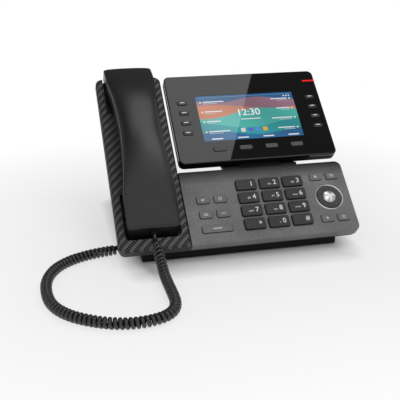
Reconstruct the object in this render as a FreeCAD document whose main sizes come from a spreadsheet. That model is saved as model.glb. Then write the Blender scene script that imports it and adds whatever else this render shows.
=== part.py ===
import FreeCAD, Part
import math
import os
from collections import namedtuple
from types import SimpleNamespace

import Sketcher
from FreeCAD import Placement, Rotation, Vector

# Driving sizes, in millimetres and degrees
SIZES = {
    # Stance: tilt of the slab, height of its front top edge, and how far that edge lies before the origin
    "slab_tilt": 40.3,
    "front_height": 18.0,
    "front_edge": 85.46,
    # Slab: two covers on one tray
    "cradle_width": 70.0,
    "panel_margin": 21.3,
    "slab_corner": 7.0,
    "slab_edge": 3.0,
    "cover_depth": 9.0,
    "cover_plate": 2.5,
    "cover_wall": 2.4,
    "seam": 0.2,
    "slab_depth": 15.0,
    "tray_inset": 1.5,
    "tray_wall": 2.2,
    "tray_floor": 2.0,
    # Electronics box under the tray
    "box_left": 60.0,
    "box_right": 90.0,
    "box_front": 22.0,
    "box_depth": 25.0,
    # Wells for the two ends of the handset
    "well_width": 55.0,
    "well_depth": 7.8,
    "well_wall": 2.0,
    "well_corner": 5.0,
    "mouth_well_front": 11.8,
    "mouth_well_back": 64.0,
    "ear_well_length": 47.5,
    # Dial keys
    "dial_key_proud": 2.4,
    "dial_margin": 29.5,
    "dial_front": 17.0,
    "dial_pitch": 24.85,
    "dial_gap": 3.45,
    "dial_row": 14.9,
    "dial_row_gap": 2.9,
    # Function keys left of the dial and round the navigation ring
    "function_key_width": 13.0,
    "function_key_length": 8.2,
    "function_key_proud": 1.3,
    "function_pitch": 17.6,
    "function_margin": 19.2,
    "function_middle": 31.6,
    "function_row": 16.6,
    "wide_key_width": 31.0,
    "wide_key_front": 15.7,
    "right_key_margin": 26.5,
    "right_key_end": 14.9,
    "right_key_inset": 18.2,
    "right_key_front": 15.8,
    # What all keys share
    "key_corner": 1.8,
    "key_bevel": 0.6,
    "key_clearance": 0.3,
    "key_lip": 1.0,
    "key_flange": 1.0,
    "key_travel": 1.2,
    # Navigation ring with its bright rim and centre button
    "nav_rise": 24.4,
    "rim_radius": 14.7,
    "rim_proud": 0.8,
    "nav_radius": 13.0,
    "nav_proud": 1.6,
    "ok_radius": 6.6,
    "ok_proud": 1.9,
    "nav_gap": 0.4,
    # Display unit, level with the slab
    "display_inset": 3.2,
    "display_gap": 8.6,
    "display_proud": 1.0,
    "display_corner": 6.0,
    "display_edge": 1.2,
    "bezel_depth": 3.4,
    "bezel_plate": 2.0,
    "bezel_wall": 2.0,
    "display_depth": 13.0,
    "rear_wall": 2.0,
    "rear_floor": 2.2,
    "rear_edge": 4.0,
    # Screen
    "screen_margin_left": 15.2,
    "screen_width": 110.5,
    "screen_margin_right": 18.7,
    "screen_margin_front": 25.6,
    "screen_length": 59.3,
    "screen_margin_back": 28.0,
    "screen_sink": 0.3,
    "screen_clearance": 0.15,
    "lcd_margin": 4.5,
    "lcd_depth": 3.4,
    "board_plate": 1.6,
    "display_board_margin": 8.0,
    "seat_gap": 0.3,
    # Line keys beside the screen and soft keys below it
    "line_key_width": 10.4,
    "line_key_length": 5.2,
    "line_key_margin": 15.2,
    "line_key_end": 12.1,
    "line_key_rise": 11.7,
    "line_key_pitch": 12.9,
    "soft_key_width": 13.8,
    "soft_key_length": 5.4,
    "soft_key_margin": 14.7,
    "soft_key_pitch": 28.2,
    "soft_key_drop": 10.4,
    "small_key_proud": 1.1,
    # Call light at the display's right edge
    "light_length": 14.5,
    "light_width": 2.0,
    "light_depth": 1.6,
    "light_drop": 14.1,
    "light_clearance": 0.1,
    # Hinge of the display
    "hinge_rise": 4.8,
    "hinge_below": 10.0,
    "knuckle_radius": 3.4,
    "pin_radius": 1.6,
    "pin_clearance": 0.05,
    "ear_width": 18.0,
    "lug_width": 44.0,
    "hinge_gap": 0.4,
    # Handset, lying on the slab
    "handset_width": 51.0,
    "waist_width": 41.6,
    "handset_front": 14.7,
    "handset_back": 217.0,
    "handset_overhang": 10.0,
    "handset_edge": 5.0,
    "waist_shift": 5.75,
    "waist_radius": 464.0,
    "waist_blend": 60.0,
    "crown_shift": 3.75,
    "crown_height": 33.0,
    "mouth_top_front": 19.2,
    "mouth_top_height": 10.0,
    "ear_top_inset": 2.0,
    "ear_top_height": 7.0,
    "parting_crown": 24.0,
    "parting_mouth": 7.2,
    "parting_ear": 0.8,
    "arch_front": 52.0,
    "ear_length": 45.0,
    "arch_height": 13.6,
    "handset_sunk": 7.5,
    "handset_wall": 2.4,
    "cavity_width": 34.0,
    "receiver_radius": 13.5,
    "receiver_depth": 5.0,
    "receiver_inset": 26.0,
    "microphone_radius": 4.9,
    "microphone_depth": 4.0,
    "microphone_middle": 35.0,
    "sound_hole_radius": 1.1,
    "sound_hole_circle": 7.0,
    # Modular plugs of the curly cord
    "plug_width": 7.6,
    "plug_height": 5.2,
    "plug_length": 12.0,
    "plug_clearance": 0.2,
    "plug_level": 2.6,
    "base_plug_left": -108.5,
    "base_plug_front": 73.0,
    "base_plug_proud": 3.0,
    "jack_wall": 1.8,
    # Curly cord: side of its square wire, radius of the coil's middle line, and its pitch
    "wire_side": 2.4,
    "coil_radius": 4.1,
    "coil_pitch": 4.25,
    "coil_start": 3.0,
    "coil_ramp": 16.0,
    "cord_tail": 96.0,
    # Boards, mat and sockets inside the slab
    "mat_plate": 1.5,
    "mat_gap": 0.3,
    "main_board_inset": 7.0,
    "main_board_margin": 7.5,
    "pillar_radius": 3.0,
    "speaker_radius": 18.0,
    "speaker_depth": 7.0,
    "speaker_middle": 108.0,
    "speaker_slot_width": 2.0,
    "speaker_slot_length": 22.0,
    "speaker_slot_pitch": 5.0,
    "socket_width": 14.0,
    "socket_length": 16.0,
    "socket_bore_width": 8.4,
    "socket_bore_length": 11.8,
    "socket_bore_depth": 12.0,
    "socket_left": 8.0,
    "socket_pitch": 24.0,
    "socket_front": 50.0,
    # Hook switch plunger in the ear well
    "hook_width": 7.0,
    "hook_length": 9.0,
    "hook_inset": 27.0,
    "hook_height": 4.9,
    # Screws from below
    "screw_radius": 1.4,
    "screw_hole": 1.8,
    "screw_head_radius": 2.9,
    "screw_head": 1.5,
    "screw_length": 8.0,
    "boss_radius": 3.4,
    "screw_inset": 8.0,
    # Stand and its pads
    "stand_width": 199.0,
    "stand_front": 11.0,
    "stand_back": 150.0,
    "stand_top": 80.0,
    "stand_wall": 3.4,
    "stand_cheek": 3.6,
    "stand_gap": 0.2,
    "window_width": 110.0,
    "window_low": 14.0,
    "window_high": 40.0,
    "foot_window_margin": 26.0,
    "pad_height": 1.2,
    "pad_radius": 7.0,
    "pad_inset": 14.0,
}

# Route of the curly cord from the handset to the base, relative to the slab's front top edge on the desk
CORD_ROUTE = [
    (-87.4, -0.6, 24.4),
    (-87.0, -9.0, 21.0),
    (-86.5, -20.0, 12.0),
    (-86.2, -36.0, 6.0),
    (-85.6, -56.0, 5.8),
    (-84.6, -76.0, 5.8),
    (-84.4, -93.0, 5.8),
    (-93.0, -101.5, 5.8),
    (-107.0, -107.0, 5.8),
    (-123.0, -112.0, 5.8),
    (-140.0, -109.5, 5.8),
    (-157.0, -98.0, 5.8),
    (-173.0, -81.0, 5.8),
    (-186.0, -62.0, 5.8),
    (-193.0, -40.0, 5.8),
    (-192.0, -19.0, 5.8),
    (-184.0, 4.0, 5.8),
    (-170.0, 20.5, 5.8),
    (-151.0, 31.0, 5.8),
    (-134.0, 35.2, 5.8),
    (-122.0, 36.0, 5.8),
    (-112.0, 37.5, 5.0),
    (-108.5, 46.0, 3.4),
    (-108.5, 60.0, 2.4),
    (-108.5, 76.0, 2.4),
    (-108.5, 88.0, 8.0),
    (-108.5, 84.0, 21.5),
]

DIAL_NAMES = (
    ("key_star", "key_0", "key_hash"),
    ("key_7", "key_8", "key_9"),
    ("key_4", "key_5", "key_6"),
    ("key_1", "key_2", "key_3"),
)

Via = namedtuple("Via", "x y")
Key = namedtuple("Key", "label x y wide long proud")


class Size:
    """A length that knows its value and the sheet formula that drives it."""

    def __init__(self, text, value):
        self.text = text
        self.value = value

    def joined(self, sign, other, value):
        return Size(f"({self.text} {sign} {other.text})", value)

    def __add__(self, other):
        other = as_size(other)
        return self.joined("+", other, self.value + other.value)

    def __sub__(self, other):
        other = as_size(other)
        return self.joined("-", other, self.value - other.value)

    def __mul__(self, other):
        other = as_size(other)
        return self.joined("*", other, self.value * other.value)

    def __truediv__(self, other):
        other = as_size(other)
        return self.joined("/", other, self.value / other.value)

    def __neg__(self):
        return Size(f"(-{self.text})", -self.value)


def as_size(item):
    return item if isinstance(item, Size) else Size(f"{item:.6f}", float(item))


doc = FreeCAD.newDocument("desk_phone")
sheet = doc.addObject("Spreadsheet::Sheet", "Sizes")
for row, (alias, number) in enumerate(SIZES.items(), 1):
    sheet.set(f"A{row}", alias)
    sheet.set(f"B{row}", str(number))
    sheet.setAlias(f"B{row}", alias)
doc.recompute()
S = SimpleNamespace(**{alias: Size(f"Sizes.{alias}", float(sheet.get(alias))) for alias in SIZES})

# Lines that several pieces share, in the slab's own frame: x across, y up the slab, z out of it
LEFT_KEYS_WIDTH = S.function_margin + S.function_pitch
DIAL_WIDTH = S.dial_margin + S.dial_pitch * 2
RIGHT_KEYS_WIDTH = S.right_key_margin + S.function_pitch + S.right_key_end
RIGHT = (S.cradle_width + LEFT_KEYS_WIDTH + DIAL_WIDTH + RIGHT_KEYS_WIDTH) / 2
LEFT = -RIGHT
SPLIT = LEFT + S.cradle_width
CRADLE_MIDDLE = LEFT + S.cradle_width / 2
CRADLE_LENGTH = S.handset_back - S.handset_overhang
EAR_WELL_FRONT = CRADLE_LENGTH - S.ear_well_length
HOOK_MIDDLE = CRADLE_LENGTH - S.hook_inset
PANEL_LENGTH = S.dial_front + S.dial_row * 3 + S.panel_margin
BOX_BACK = PANEL_LENGTH - S.screw_inset - S.boss_radius * 2
FUNCTION_LEFT = SPLIT + S.function_margin
DIAL_LEFT = SPLIT + LEFT_KEYS_WIDTH + S.dial_margin
DIAL_KEY_WIDTH = S.dial_pitch - S.dial_gap
DIAL_KEY_LENGTH = S.dial_row - S.dial_row_gap
RIGHT_KEY_LEFT = SPLIT + LEFT_KEYS_WIDTH + DIAL_WIDTH + S.right_key_margin
RIGHT_KEY_BACK = PANEL_LENGTH - S.right_key_inset
NAV_X = RIGHT_KEY_LEFT + S.function_pitch / 2
NAV_FRONT = S.right_key_front + S.nav_rise
MAIN_BOARD_LEFT = SPLIT + S.main_board_margin
KEY_SEAT = -(S.cover_plate + S.key_clearance)
MAT_TOP = KEY_SEAT - S.key_flange - S.key_travel - S.mat_gap
BOARD_TOP = MAT_TOP - S.mat_plate - S.seat_gap
BOARD_BOTTOM = BOARD_TOP - S.board_plate
TRAY_TOP = -(S.cover_depth + S.seam)
FLOOR_TOP = S.tray_floor - S.slab_depth
BOX_FLOOR_TOP = S.tray_floor - S.box_depth
DISPLAY_LEFT = SPLIT + S.display_inset
DISPLAY_FRONT = PANEL_LENGTH + S.display_gap
HINGE_FRONT = PANEL_LENGTH + S.hinge_rise
LINE_KEY_LEFT = DISPLAY_LEFT + S.line_key_margin
SCREEN_LEFT = LINE_KEY_LEFT + S.screen_margin_left
SCREEN_FRONT = DISPLAY_FRONT + S.screen_margin_front
LINE_KEY_RIGHT = SCREEN_LEFT + S.screen_width + S.screen_margin_right
LINE_KEY_FRONT = SCREEN_FRONT + S.line_key_rise
SOFT_KEY_LEFT = SCREEN_LEFT + S.soft_key_margin
SOFT_KEY_FRONT = SCREEN_FRONT - S.soft_key_drop
DISPLAY_RIGHT = LINE_KEY_RIGHT + S.line_key_end
DISPLAY_BACK = SCREEN_FRONT + S.screen_length + S.screen_margin_back
LIGHT_FRONT = DISPLAY_BACK - S.light_drop
BEZEL_BACK = S.display_proud - S.bezel_depth
DISPLAY_REAR = S.display_proud - S.display_depth
SMALL_KEY_SEAT = S.display_proud - S.bezel_plate - S.key_clearance
HINGE_MIDDLE = (DISPLAY_LEFT + DISPLAY_RIGHT) / 2
HANDSET_MIDDLE = (S.handset_front + S.handset_back) / 2
WAIST_MIDDLE = HANDSET_MIDDLE + S.waist_shift
CROWN_MIDDLE = HANDSET_MIDDLE + S.crown_shift
EAR_TOP_BACK = S.handset_back - S.ear_top_inset
ARCH_BACK = S.handset_back - S.ear_length
RECEIVER_MIDDLE = S.handset_back - S.receiver_inset

SLAB = Placement(
    Vector(0, -S.front_edge.value, S.front_height.value),
    Rotation(Vector(1, 0, 0), S.slab_tilt.value),
)
DESK = Placement(Vector(0, -S.front_edge.value, 0), Rotation())

pieces = []


def on_slab(x, y, z=0.0):
    """Placement on the slab whose own origin is at the given point of the slab's frame."""
    values = [as_size(item).value for item in (x, y, z)]
    return SLAB.multiply(Placement(Vector(*values), Rotation()))


def new_body(label, placement=SLAB):
    body = doc.addObject("PartDesign::Body", label)
    body.Label = label
    body.Placement = placement
    pieces.append(body)
    return body


def sketch_on(body, name, level=0.0, role="XY_Plane"):
    """Empty sketch on a plane of the body's origin, raised by level along the plane's normal."""
    sketch = body.newObject("Sketcher::SketchObject", f"{body.Label}_{name}")
    support = next(item for item in body.Origin.OriginFeatures if item.Role == role)
    sketch.AttachmentSupport = [(support, "")]
    sketch.MapMode = "FlatFace"
    sketch.setExpression("AttachmentOffset.Base.z", as_size(level).text)
    return sketch


def pin_point(sketch, shape, end, point):
    """Tie one end of a sketch line, arc or point to sizes measured from the sketch's origin."""
    for kind, item in zip(("DistanceX", "DistanceY"), point):
        item = as_size(item)
        index = sketch.addConstraint(Sketcher.Constraint(kind, -1, 1, shape, end, item.value))
        sketch.setExpression(f"Constraints[{index}]", item.text)


def flat(point):
    return Vector(as_size(point[0]).value, as_size(point[1]).value, 0)


def draw_outline(sketch, path):
    """Closed outline through corners. A Via between two corners makes that run an arc through it."""
    corners = [index for index, item in enumerate(path) if not isinstance(item, Via)]
    runs = []
    for place, index in enumerate(corners):
        following = corners[(place + 1) % len(corners)]
        start, end = flat(path[index]), flat(path[following])
        between = path[(index + 1) % len(path)]
        if isinstance(between, Via):
            shape = sketch.addGeometry(Part.Arc(start, flat(between), end), False)
            marker = sketch.addGeometry(Part.Point(flat(between)), True)
            pin_point(sketch, marker, 1, between)
            sketch.addConstraint(Sketcher.Constraint("PointOnObject", marker, 1, shape))
        else:
            shape = sketch.addGeometry(Part.LineSegment(start, end), False)
        first, second = sketch.getPoint(shape, 1), sketch.getPoint(shape, 2)
        forward = first.distanceToPoint(start) < second.distanceToPoint(start)
        first, last = (1, 2) if forward else (2, 1)
        pin_point(sketch, shape, first, path[index])
        runs.append((shape, first, last))
    for (shape, _, last), (after, first, _) in zip(runs, runs[1:] + runs[:1]):
        sketch.addConstraint(Sketcher.Constraint("Coincident", shape, last, after, first))


def draw_circle(sketch, centre, radius):
    radius = as_size(radius)
    shape = sketch.addGeometry(Part.Circle(flat(centre), Vector(0, 0, 1), radius.value), False)
    pin_point(sketch, shape, 3, centre)
    index = sketch.addConstraint(Sketcher.Constraint("Radius", shape, radius.value))
    sketch.setExpression(f"Constraints[{index}]", radius.text)


def rectangle(left, right, front, back):
    return [(left, front), (right, front), (right, back), (left, back)]


def centred(x, y, wide, long):
    return rectangle(x - wide / 2, x + wide / 2, y - long / 2, y + long / 2)


def rounded(left, right, front, back, radius):
    """Rectangle with round corners."""
    bend = radius * (1 - math.sqrt(0.5))
    return [
        (left + radius, front),
        (right - radius, front),
        Via(right - bend, front + bend),
        (right, front + radius),
        (right, back - radius),
        Via(right - bend, back - bend),
        (right - radius, back),
        (left + radius, back),
        Via(left + bend, back - bend),
        (left, back - radius),
        (left, front + radius),
        Via(left + bend, front + bend),
    ]


def extrude(body, sketch, length, down=False, symmetric=False):
    feature = body.newObject("PartDesign::Pad", f"{sketch.Label}_pad")
    feature.Profile = sketch
    feature.setExpression("Length", as_size(length).text)
    feature.Reversed = down
    feature.SideType = "Symmetric" if symmetric else "One side"
    return feature


def cut(body, sketch, length=None, up=False, symmetric=False):
    """Pocket of a given length below the sketch, or above it, or through everything without a length."""
    doc.recompute()
    before = body.Shape.Volume
    feature = body.newObject("PartDesign::Pocket", f"{sketch.Label}_cut")
    feature.Profile = sketch
    if length is None:
        feature.Type = "ThroughAll"
    else:
        feature.setExpression("Length", as_size(length).text)
    feature.Reversed = up
    feature.SideType = "Symmetric" if symmetric else "One side"
    doc.recompute()
    if body.Shape.Volume >= before:
        raise RuntimeError(f"{feature.Label} cuts nothing")
    return feature


def revolve(body, sketch):
    feature = body.newObject("PartDesign::Revolution", f"{sketch.Label}_turn")
    feature.Profile = sketch
    feature.ReferenceAxis = (sketch, ["V_Axis"])
    feature.Angle = 360
    return feature


def dress(body, kind, name, radius, test):
    """Fillet or chamfer on the edges of the body that pass the test."""
    doc.recompute()
    base = body.Tip
    edges = [f"Edge{index}" for index, edge in enumerate(base.Shape.Edges, 1) if test(edge)]
    feature = body.newObject(f"PartDesign::{kind}", f"{body.Label}_{name}")
    feature.Base = (base, edges)
    feature.setExpression("Size" if kind == "Chamfer" else "Radius", as_size(radius).text)
    return feature


def upright(edge):
    """True for an edge along the body's own Z."""
    ends = [vertex.Point for vertex in edge.Vertexes]
    if len(ends) < 2:
        return False
    run = ends[1] - ends[0]
    return abs(run.z) > 0.99 * run.Length


def level_at(edge, height):
    box = edge.BoundBox
    return abs(box.ZMin - as_size(height).value) < 1e-4 and abs(box.ZMax - as_size(height).value) < 1e-4


def near(edge, x=None, y=None, reach=0.01):
    middle = edge.BoundBox.Center
    across = x is None or abs(middle.x - as_size(x).value) < reach
    along = y is None or abs(middle.y - as_size(y).value) < reach
    return across and along


def add_group(label, shapes):
    """One piece made of several separate solids."""
    group = doc.addObject("Part::Compound", label)
    group.Links = shapes
    group.Label = label
    pieces.append(group)
    return group


def cylinder(label, radius, height, placement):
    solid = doc.addObject("Part::Cylinder", label)
    solid.setExpression("Radius", as_size(radius).text)
    solid.setExpression("Height", as_size(height).text)
    solid.Placement = placement
    return solid


# Where every key stands, by group
def dial_keys():
    for row, names in enumerate(DIAL_NAMES):
        for column, name in enumerate(names):
            x = DIAL_LEFT + S.dial_pitch * column
            y = S.dial_front + S.dial_row * row
            yield Key(name, x, y, DIAL_KEY_WIDTH, DIAL_KEY_LENGTH, S.dial_key_proud)


def function_keys():
    wide, long, proud = S.function_key_width, S.function_key_length, S.function_key_proud
    for row, level in enumerate(("lower", "upper")):
        y = S.function_middle + S.function_row * row
        for column, side in enumerate(("a", "b")):
            x = FUNCTION_LEFT + S.function_pitch * column
            yield Key(f"left_key_{level}_{side}", x, y, wide, long, proud)
    middle = FUNCTION_LEFT + S.function_pitch / 2
    yield Key("left_key_wide", middle, S.wide_key_front, S.wide_key_width, long, proud)
    for level, y in (("lower", S.right_key_front), ("upper", RIGHT_KEY_BACK)):
        for column, side in enumerate(("a", "b")):
            x = RIGHT_KEY_LEFT + S.function_pitch * column
            yield Key(f"right_key_{level}_{side}", x, y, wide, long, proud)


def display_keys():
    wide, long, proud = S.line_key_width, S.line_key_length, S.small_key_proud
    for side, x in (("left", LINE_KEY_LEFT), ("right", LINE_KEY_RIGHT)):
        for row in range(4):
            y = LINE_KEY_FRONT + S.line_key_pitch * row
            yield Key(f"line_key_{side}_{row + 1}", x, y, wide, long, proud)
    wide, long = S.soft_key_width, S.soft_key_length
    for column in range(4):
        x = SOFT_KEY_LEFT + S.soft_key_pitch * column
        yield Key(f"soft_key_{column + 1}", x, SOFT_KEY_FRONT, wide, long, proud)


def build_key(key, seat, top):
    """Key cap with rounded corners and bevelled top, on a flange that keeps it behind its panel."""
    body = new_body(key.label, on_slab(key.x, key.y))
    cap = sketch_on(body, "cap", seat)
    draw_outline(cap, centred(as_size(0), as_size(0), key.wide, key.long))
    extrude(body, cap, top + key.proud - seat)
    dress(body, "Fillet", "corners", S.key_corner, upright)
    dress(body, "Chamfer", "bevel", S.key_bevel, lambda edge: level_at(edge, top + key.proud))
    flange = sketch_on(body, "flange", seat)
    draw_outline(flange, centred(as_size(0), as_size(0), key.wide + S.key_lip * 2, key.long + S.key_lip * 2))
    extrude(body, flange, S.key_flange, down=True)


def key_openings(body, keys, top, plate):
    """Rounded openings for keys through a plate whose front lies at top."""
    sketch = sketch_on(body, "key_openings", top)
    gap = S.key_clearance * 2
    for key in keys:
        draw_outline(sketch, centred(key.x, key.y, key.wide + gap, key.long + gap))
    cut(body, sketch, plate)
    spots = [(key.x.value, key.y.value, key.wide.value, key.long.value) for key in keys]

    def at_opening(edge):
        middle = edge.BoundBox.Center
        return upright(edge) and any(
            abs(middle.x - x) < wide / 2 + 1 and abs(middle.y - y) < long / 2 + 1 for x, y, wide, long in spots
        )

    dress(body, "Fillet", "opening_corners", S.key_corner + S.key_clearance, at_opening)


def screw_spots():
    """Four screws near the corners of the slab's covers."""
    inset = S.screw_inset
    return (
        (LEFT + inset + S.tray_inset, CRADLE_LENGTH / 2 + inset),
        (SPLIT - inset - S.tray_inset, CRADLE_LENGTH / 2 + inset),
        (SPLIT + inset, PANEL_LENGTH - inset),
        (RIGHT - inset, PANEL_LENGTH - inset),
    )


def screw_bosses(body, spots):
    """Bosses that hang from the cover's plate to the tray's floor, bored for the screws."""
    outer = sketch_on(body, "bosses", -S.cover_plate)
    for spot in spots:
        draw_circle(outer, spot, S.boss_radius)
    extrude(body, outer, -(FLOOR_TOP + S.cover_plate + S.seat_gap), down=True)
    bore = sketch_on(body, "boss_bores", FLOOR_TOP)
    for spot in spots:
        draw_circle(bore, spot, S.screw_radius + S.pin_clearance)
    cut(body, bore, S.screw_length, up=True)


def build_cradle_cover():
    """Left column: a shallow cap with two wells for the handset, a slotted grille and a hook hole."""
    body = new_body("cradle_cover")
    right = SPLIT - S.seam / 2
    outer = sketch_on(body, "outline")
    draw_outline(outer, rectangle(LEFT, right, as_size(0), CRADLE_LENGTH))
    extrude(body, outer, S.cover_depth, down=True)
    dress(
        body,
        "Fillet",
        "corners",
        S.slab_corner,
        lambda edge: upright(edge) and not near(edge, right, 0),
    )
    dress(
        body,
        "Fillet",
        "edges",
        S.slab_edge,
        lambda edge: level_at(edge, 0) and not near(edge, right),
    )
    inner = sketch_on(body, "inside", -S.cover_plate)
    wall = S.cover_wall
    draw_outline(inner, rounded(LEFT + wall, right - wall, wall, CRADLE_LENGTH - wall, S.slab_corner - wall))
    cut(body, inner, S.cover_depth - S.cover_plate)
    half = S.well_width / 2
    floors = sketch_on(body, "well_floors", -S.cover_plate)
    for front, back in (
        (S.mouth_well_front - S.well_wall, S.mouth_well_back + S.well_wall),
        (EAR_WELL_FRONT - S.well_wall, CRADLE_LENGTH - S.cover_wall / 2),
    ):
        draw_outline(
            floors,
            rectangle(CRADLE_MIDDLE - half - S.well_wall, CRADLE_MIDDLE + half + S.well_wall, front, back),
        )
    extrude(body, floors, S.cover_depth - S.cover_plate, down=True)
    wells = sketch_on(body, "wells")
    for front, back in (
        (S.mouth_well_front, S.mouth_well_back),
        (EAR_WELL_FRONT, CRADLE_LENGTH + S.slab_corner),
    ):
        draw_outline(wells, rectangle(CRADLE_MIDDLE - half, CRADLE_MIDDLE + half, front, back))
    cut(body, wells, S.well_depth)
    middle = CRADLE_MIDDLE.value

    def in_wells(edge):
        box = edge.BoundBox
        inside = abs(abs(box.Center.x - middle) - half.value) < 0.01
        ends = (S.mouth_well_front.value, S.mouth_well_back.value, EAR_WELL_FRONT.value)
        return upright(edge) and inside and any(abs(box.Center.y - end) < 0.01 for end in ends)

    dress(body, "Fillet", "well_corners", S.well_corner, in_wells)
    hook = sketch_on(body, "hook_hole", -S.well_depth)
    gap = S.key_clearance * 2
    draw_outline(hook, centred(CRADLE_MIDDLE, HOOK_MIDDLE, S.hook_width + gap, S.hook_length + gap))
    cut(body, hook, S.cover_depth - S.well_depth)
    grille = sketch_on(body, "grille")
    for step in range(-2, 3):
        y = S.speaker_middle + S.speaker_slot_pitch * step
        draw_outline(grille, centred(CRADLE_MIDDLE, y, S.speaker_slot_length, S.speaker_slot_width))
    cut(body, grille, S.cover_plate)
    screw_bosses(body, screw_spots()[:2])


def build_keypad_panel():
    """Front panel: a shallow cap with openings for its keys and the navigation ring."""
    body = new_body("keypad_panel")
    left = SPLIT + S.seam / 2
    outer = sketch_on(body, "outline")
    draw_outline(outer, rectangle(left, RIGHT, as_size(0), PANEL_LENGTH))
    extrude(body, outer, S.cover_depth, down=True)
    dress(body, "Fillet", "corners", S.slab_corner, lambda edge: upright(edge) and near(edge, RIGHT))
    dress(
        body,
        "Fillet",
        "edges",
        S.slab_edge / 2,
        lambda edge: level_at(edge, 0) and not near(edge, left),
    )
    inner = sketch_on(body, "inside", -S.cover_plate)
    wall = S.cover_wall
    draw_outline(inner, rounded(left + wall, RIGHT - wall, wall, PANEL_LENGTH - wall, S.slab_corner - wall))
    cut(body, inner, S.cover_depth - S.cover_plate)
    key_openings(body, list(dial_keys()) + list(function_keys()), as_size(0), S.cover_plate)
    ring = sketch_on(body, "nav_opening")
    draw_circle(ring, (NAV_X, NAV_FRONT), S.rim_radius + S.light_clearance)
    cut(body, ring, S.cover_plate)
    screw_bosses(body, screw_spots()[2:])


def build_navigation():
    """Bright rim, rocking ring and centre button, all turned about one axis."""
    place = on_slab(NAV_X, NAV_FRONT)
    flange = KEY_SEAT - S.key_flange
    rim = new_body("nav_trim_ring", place)
    profile = sketch_on(rim, "profile", role="XZ_Plane")
    bore = S.nav_radius + S.nav_gap
    draw_outline(
        profile,
        [
            (bore, -S.cover_plate),
            (S.rim_radius, -S.cover_plate),
            (S.rim_radius, S.rim_proud / 2),
            ((bore + S.rim_radius) / 2, S.rim_proud),
            (bore, S.rim_proud / 2),
        ],
    )
    revolve(rim, profile)
    ring = new_body("nav_ring", place)
    profile = sketch_on(ring, "profile", role="XZ_Plane")
    bore = S.ok_radius + S.nav_gap
    draw_outline(
        profile,
        [
            (bore, flange),
            (S.nav_radius, flange),
            (S.nav_radius, S.nav_proud / 2),
            Via(S.nav_radius - S.nav_proud / 4, S.nav_proud * 0.85),
            (S.nav_radius - S.nav_proud, S.nav_proud),
            (bore, S.nav_proud / 2),
        ],
    )
    revolve(ring, profile)
    button = new_body("ok_button", place)
    profile = sketch_on(button, "profile", role="XZ_Plane")
    draw_outline(
        profile,
        [
            (as_size(0), flange),
            (S.ok_radius, flange),
            (S.ok_radius, S.ok_proud / 2),
            Via(S.ok_radius * 0.7, S.ok_proud * 0.87),
            (S.ok_radius / 4, S.ok_proud),
            (as_size(0), S.ok_proud),
        ],
    )
    revolve(button, profile)


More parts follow.
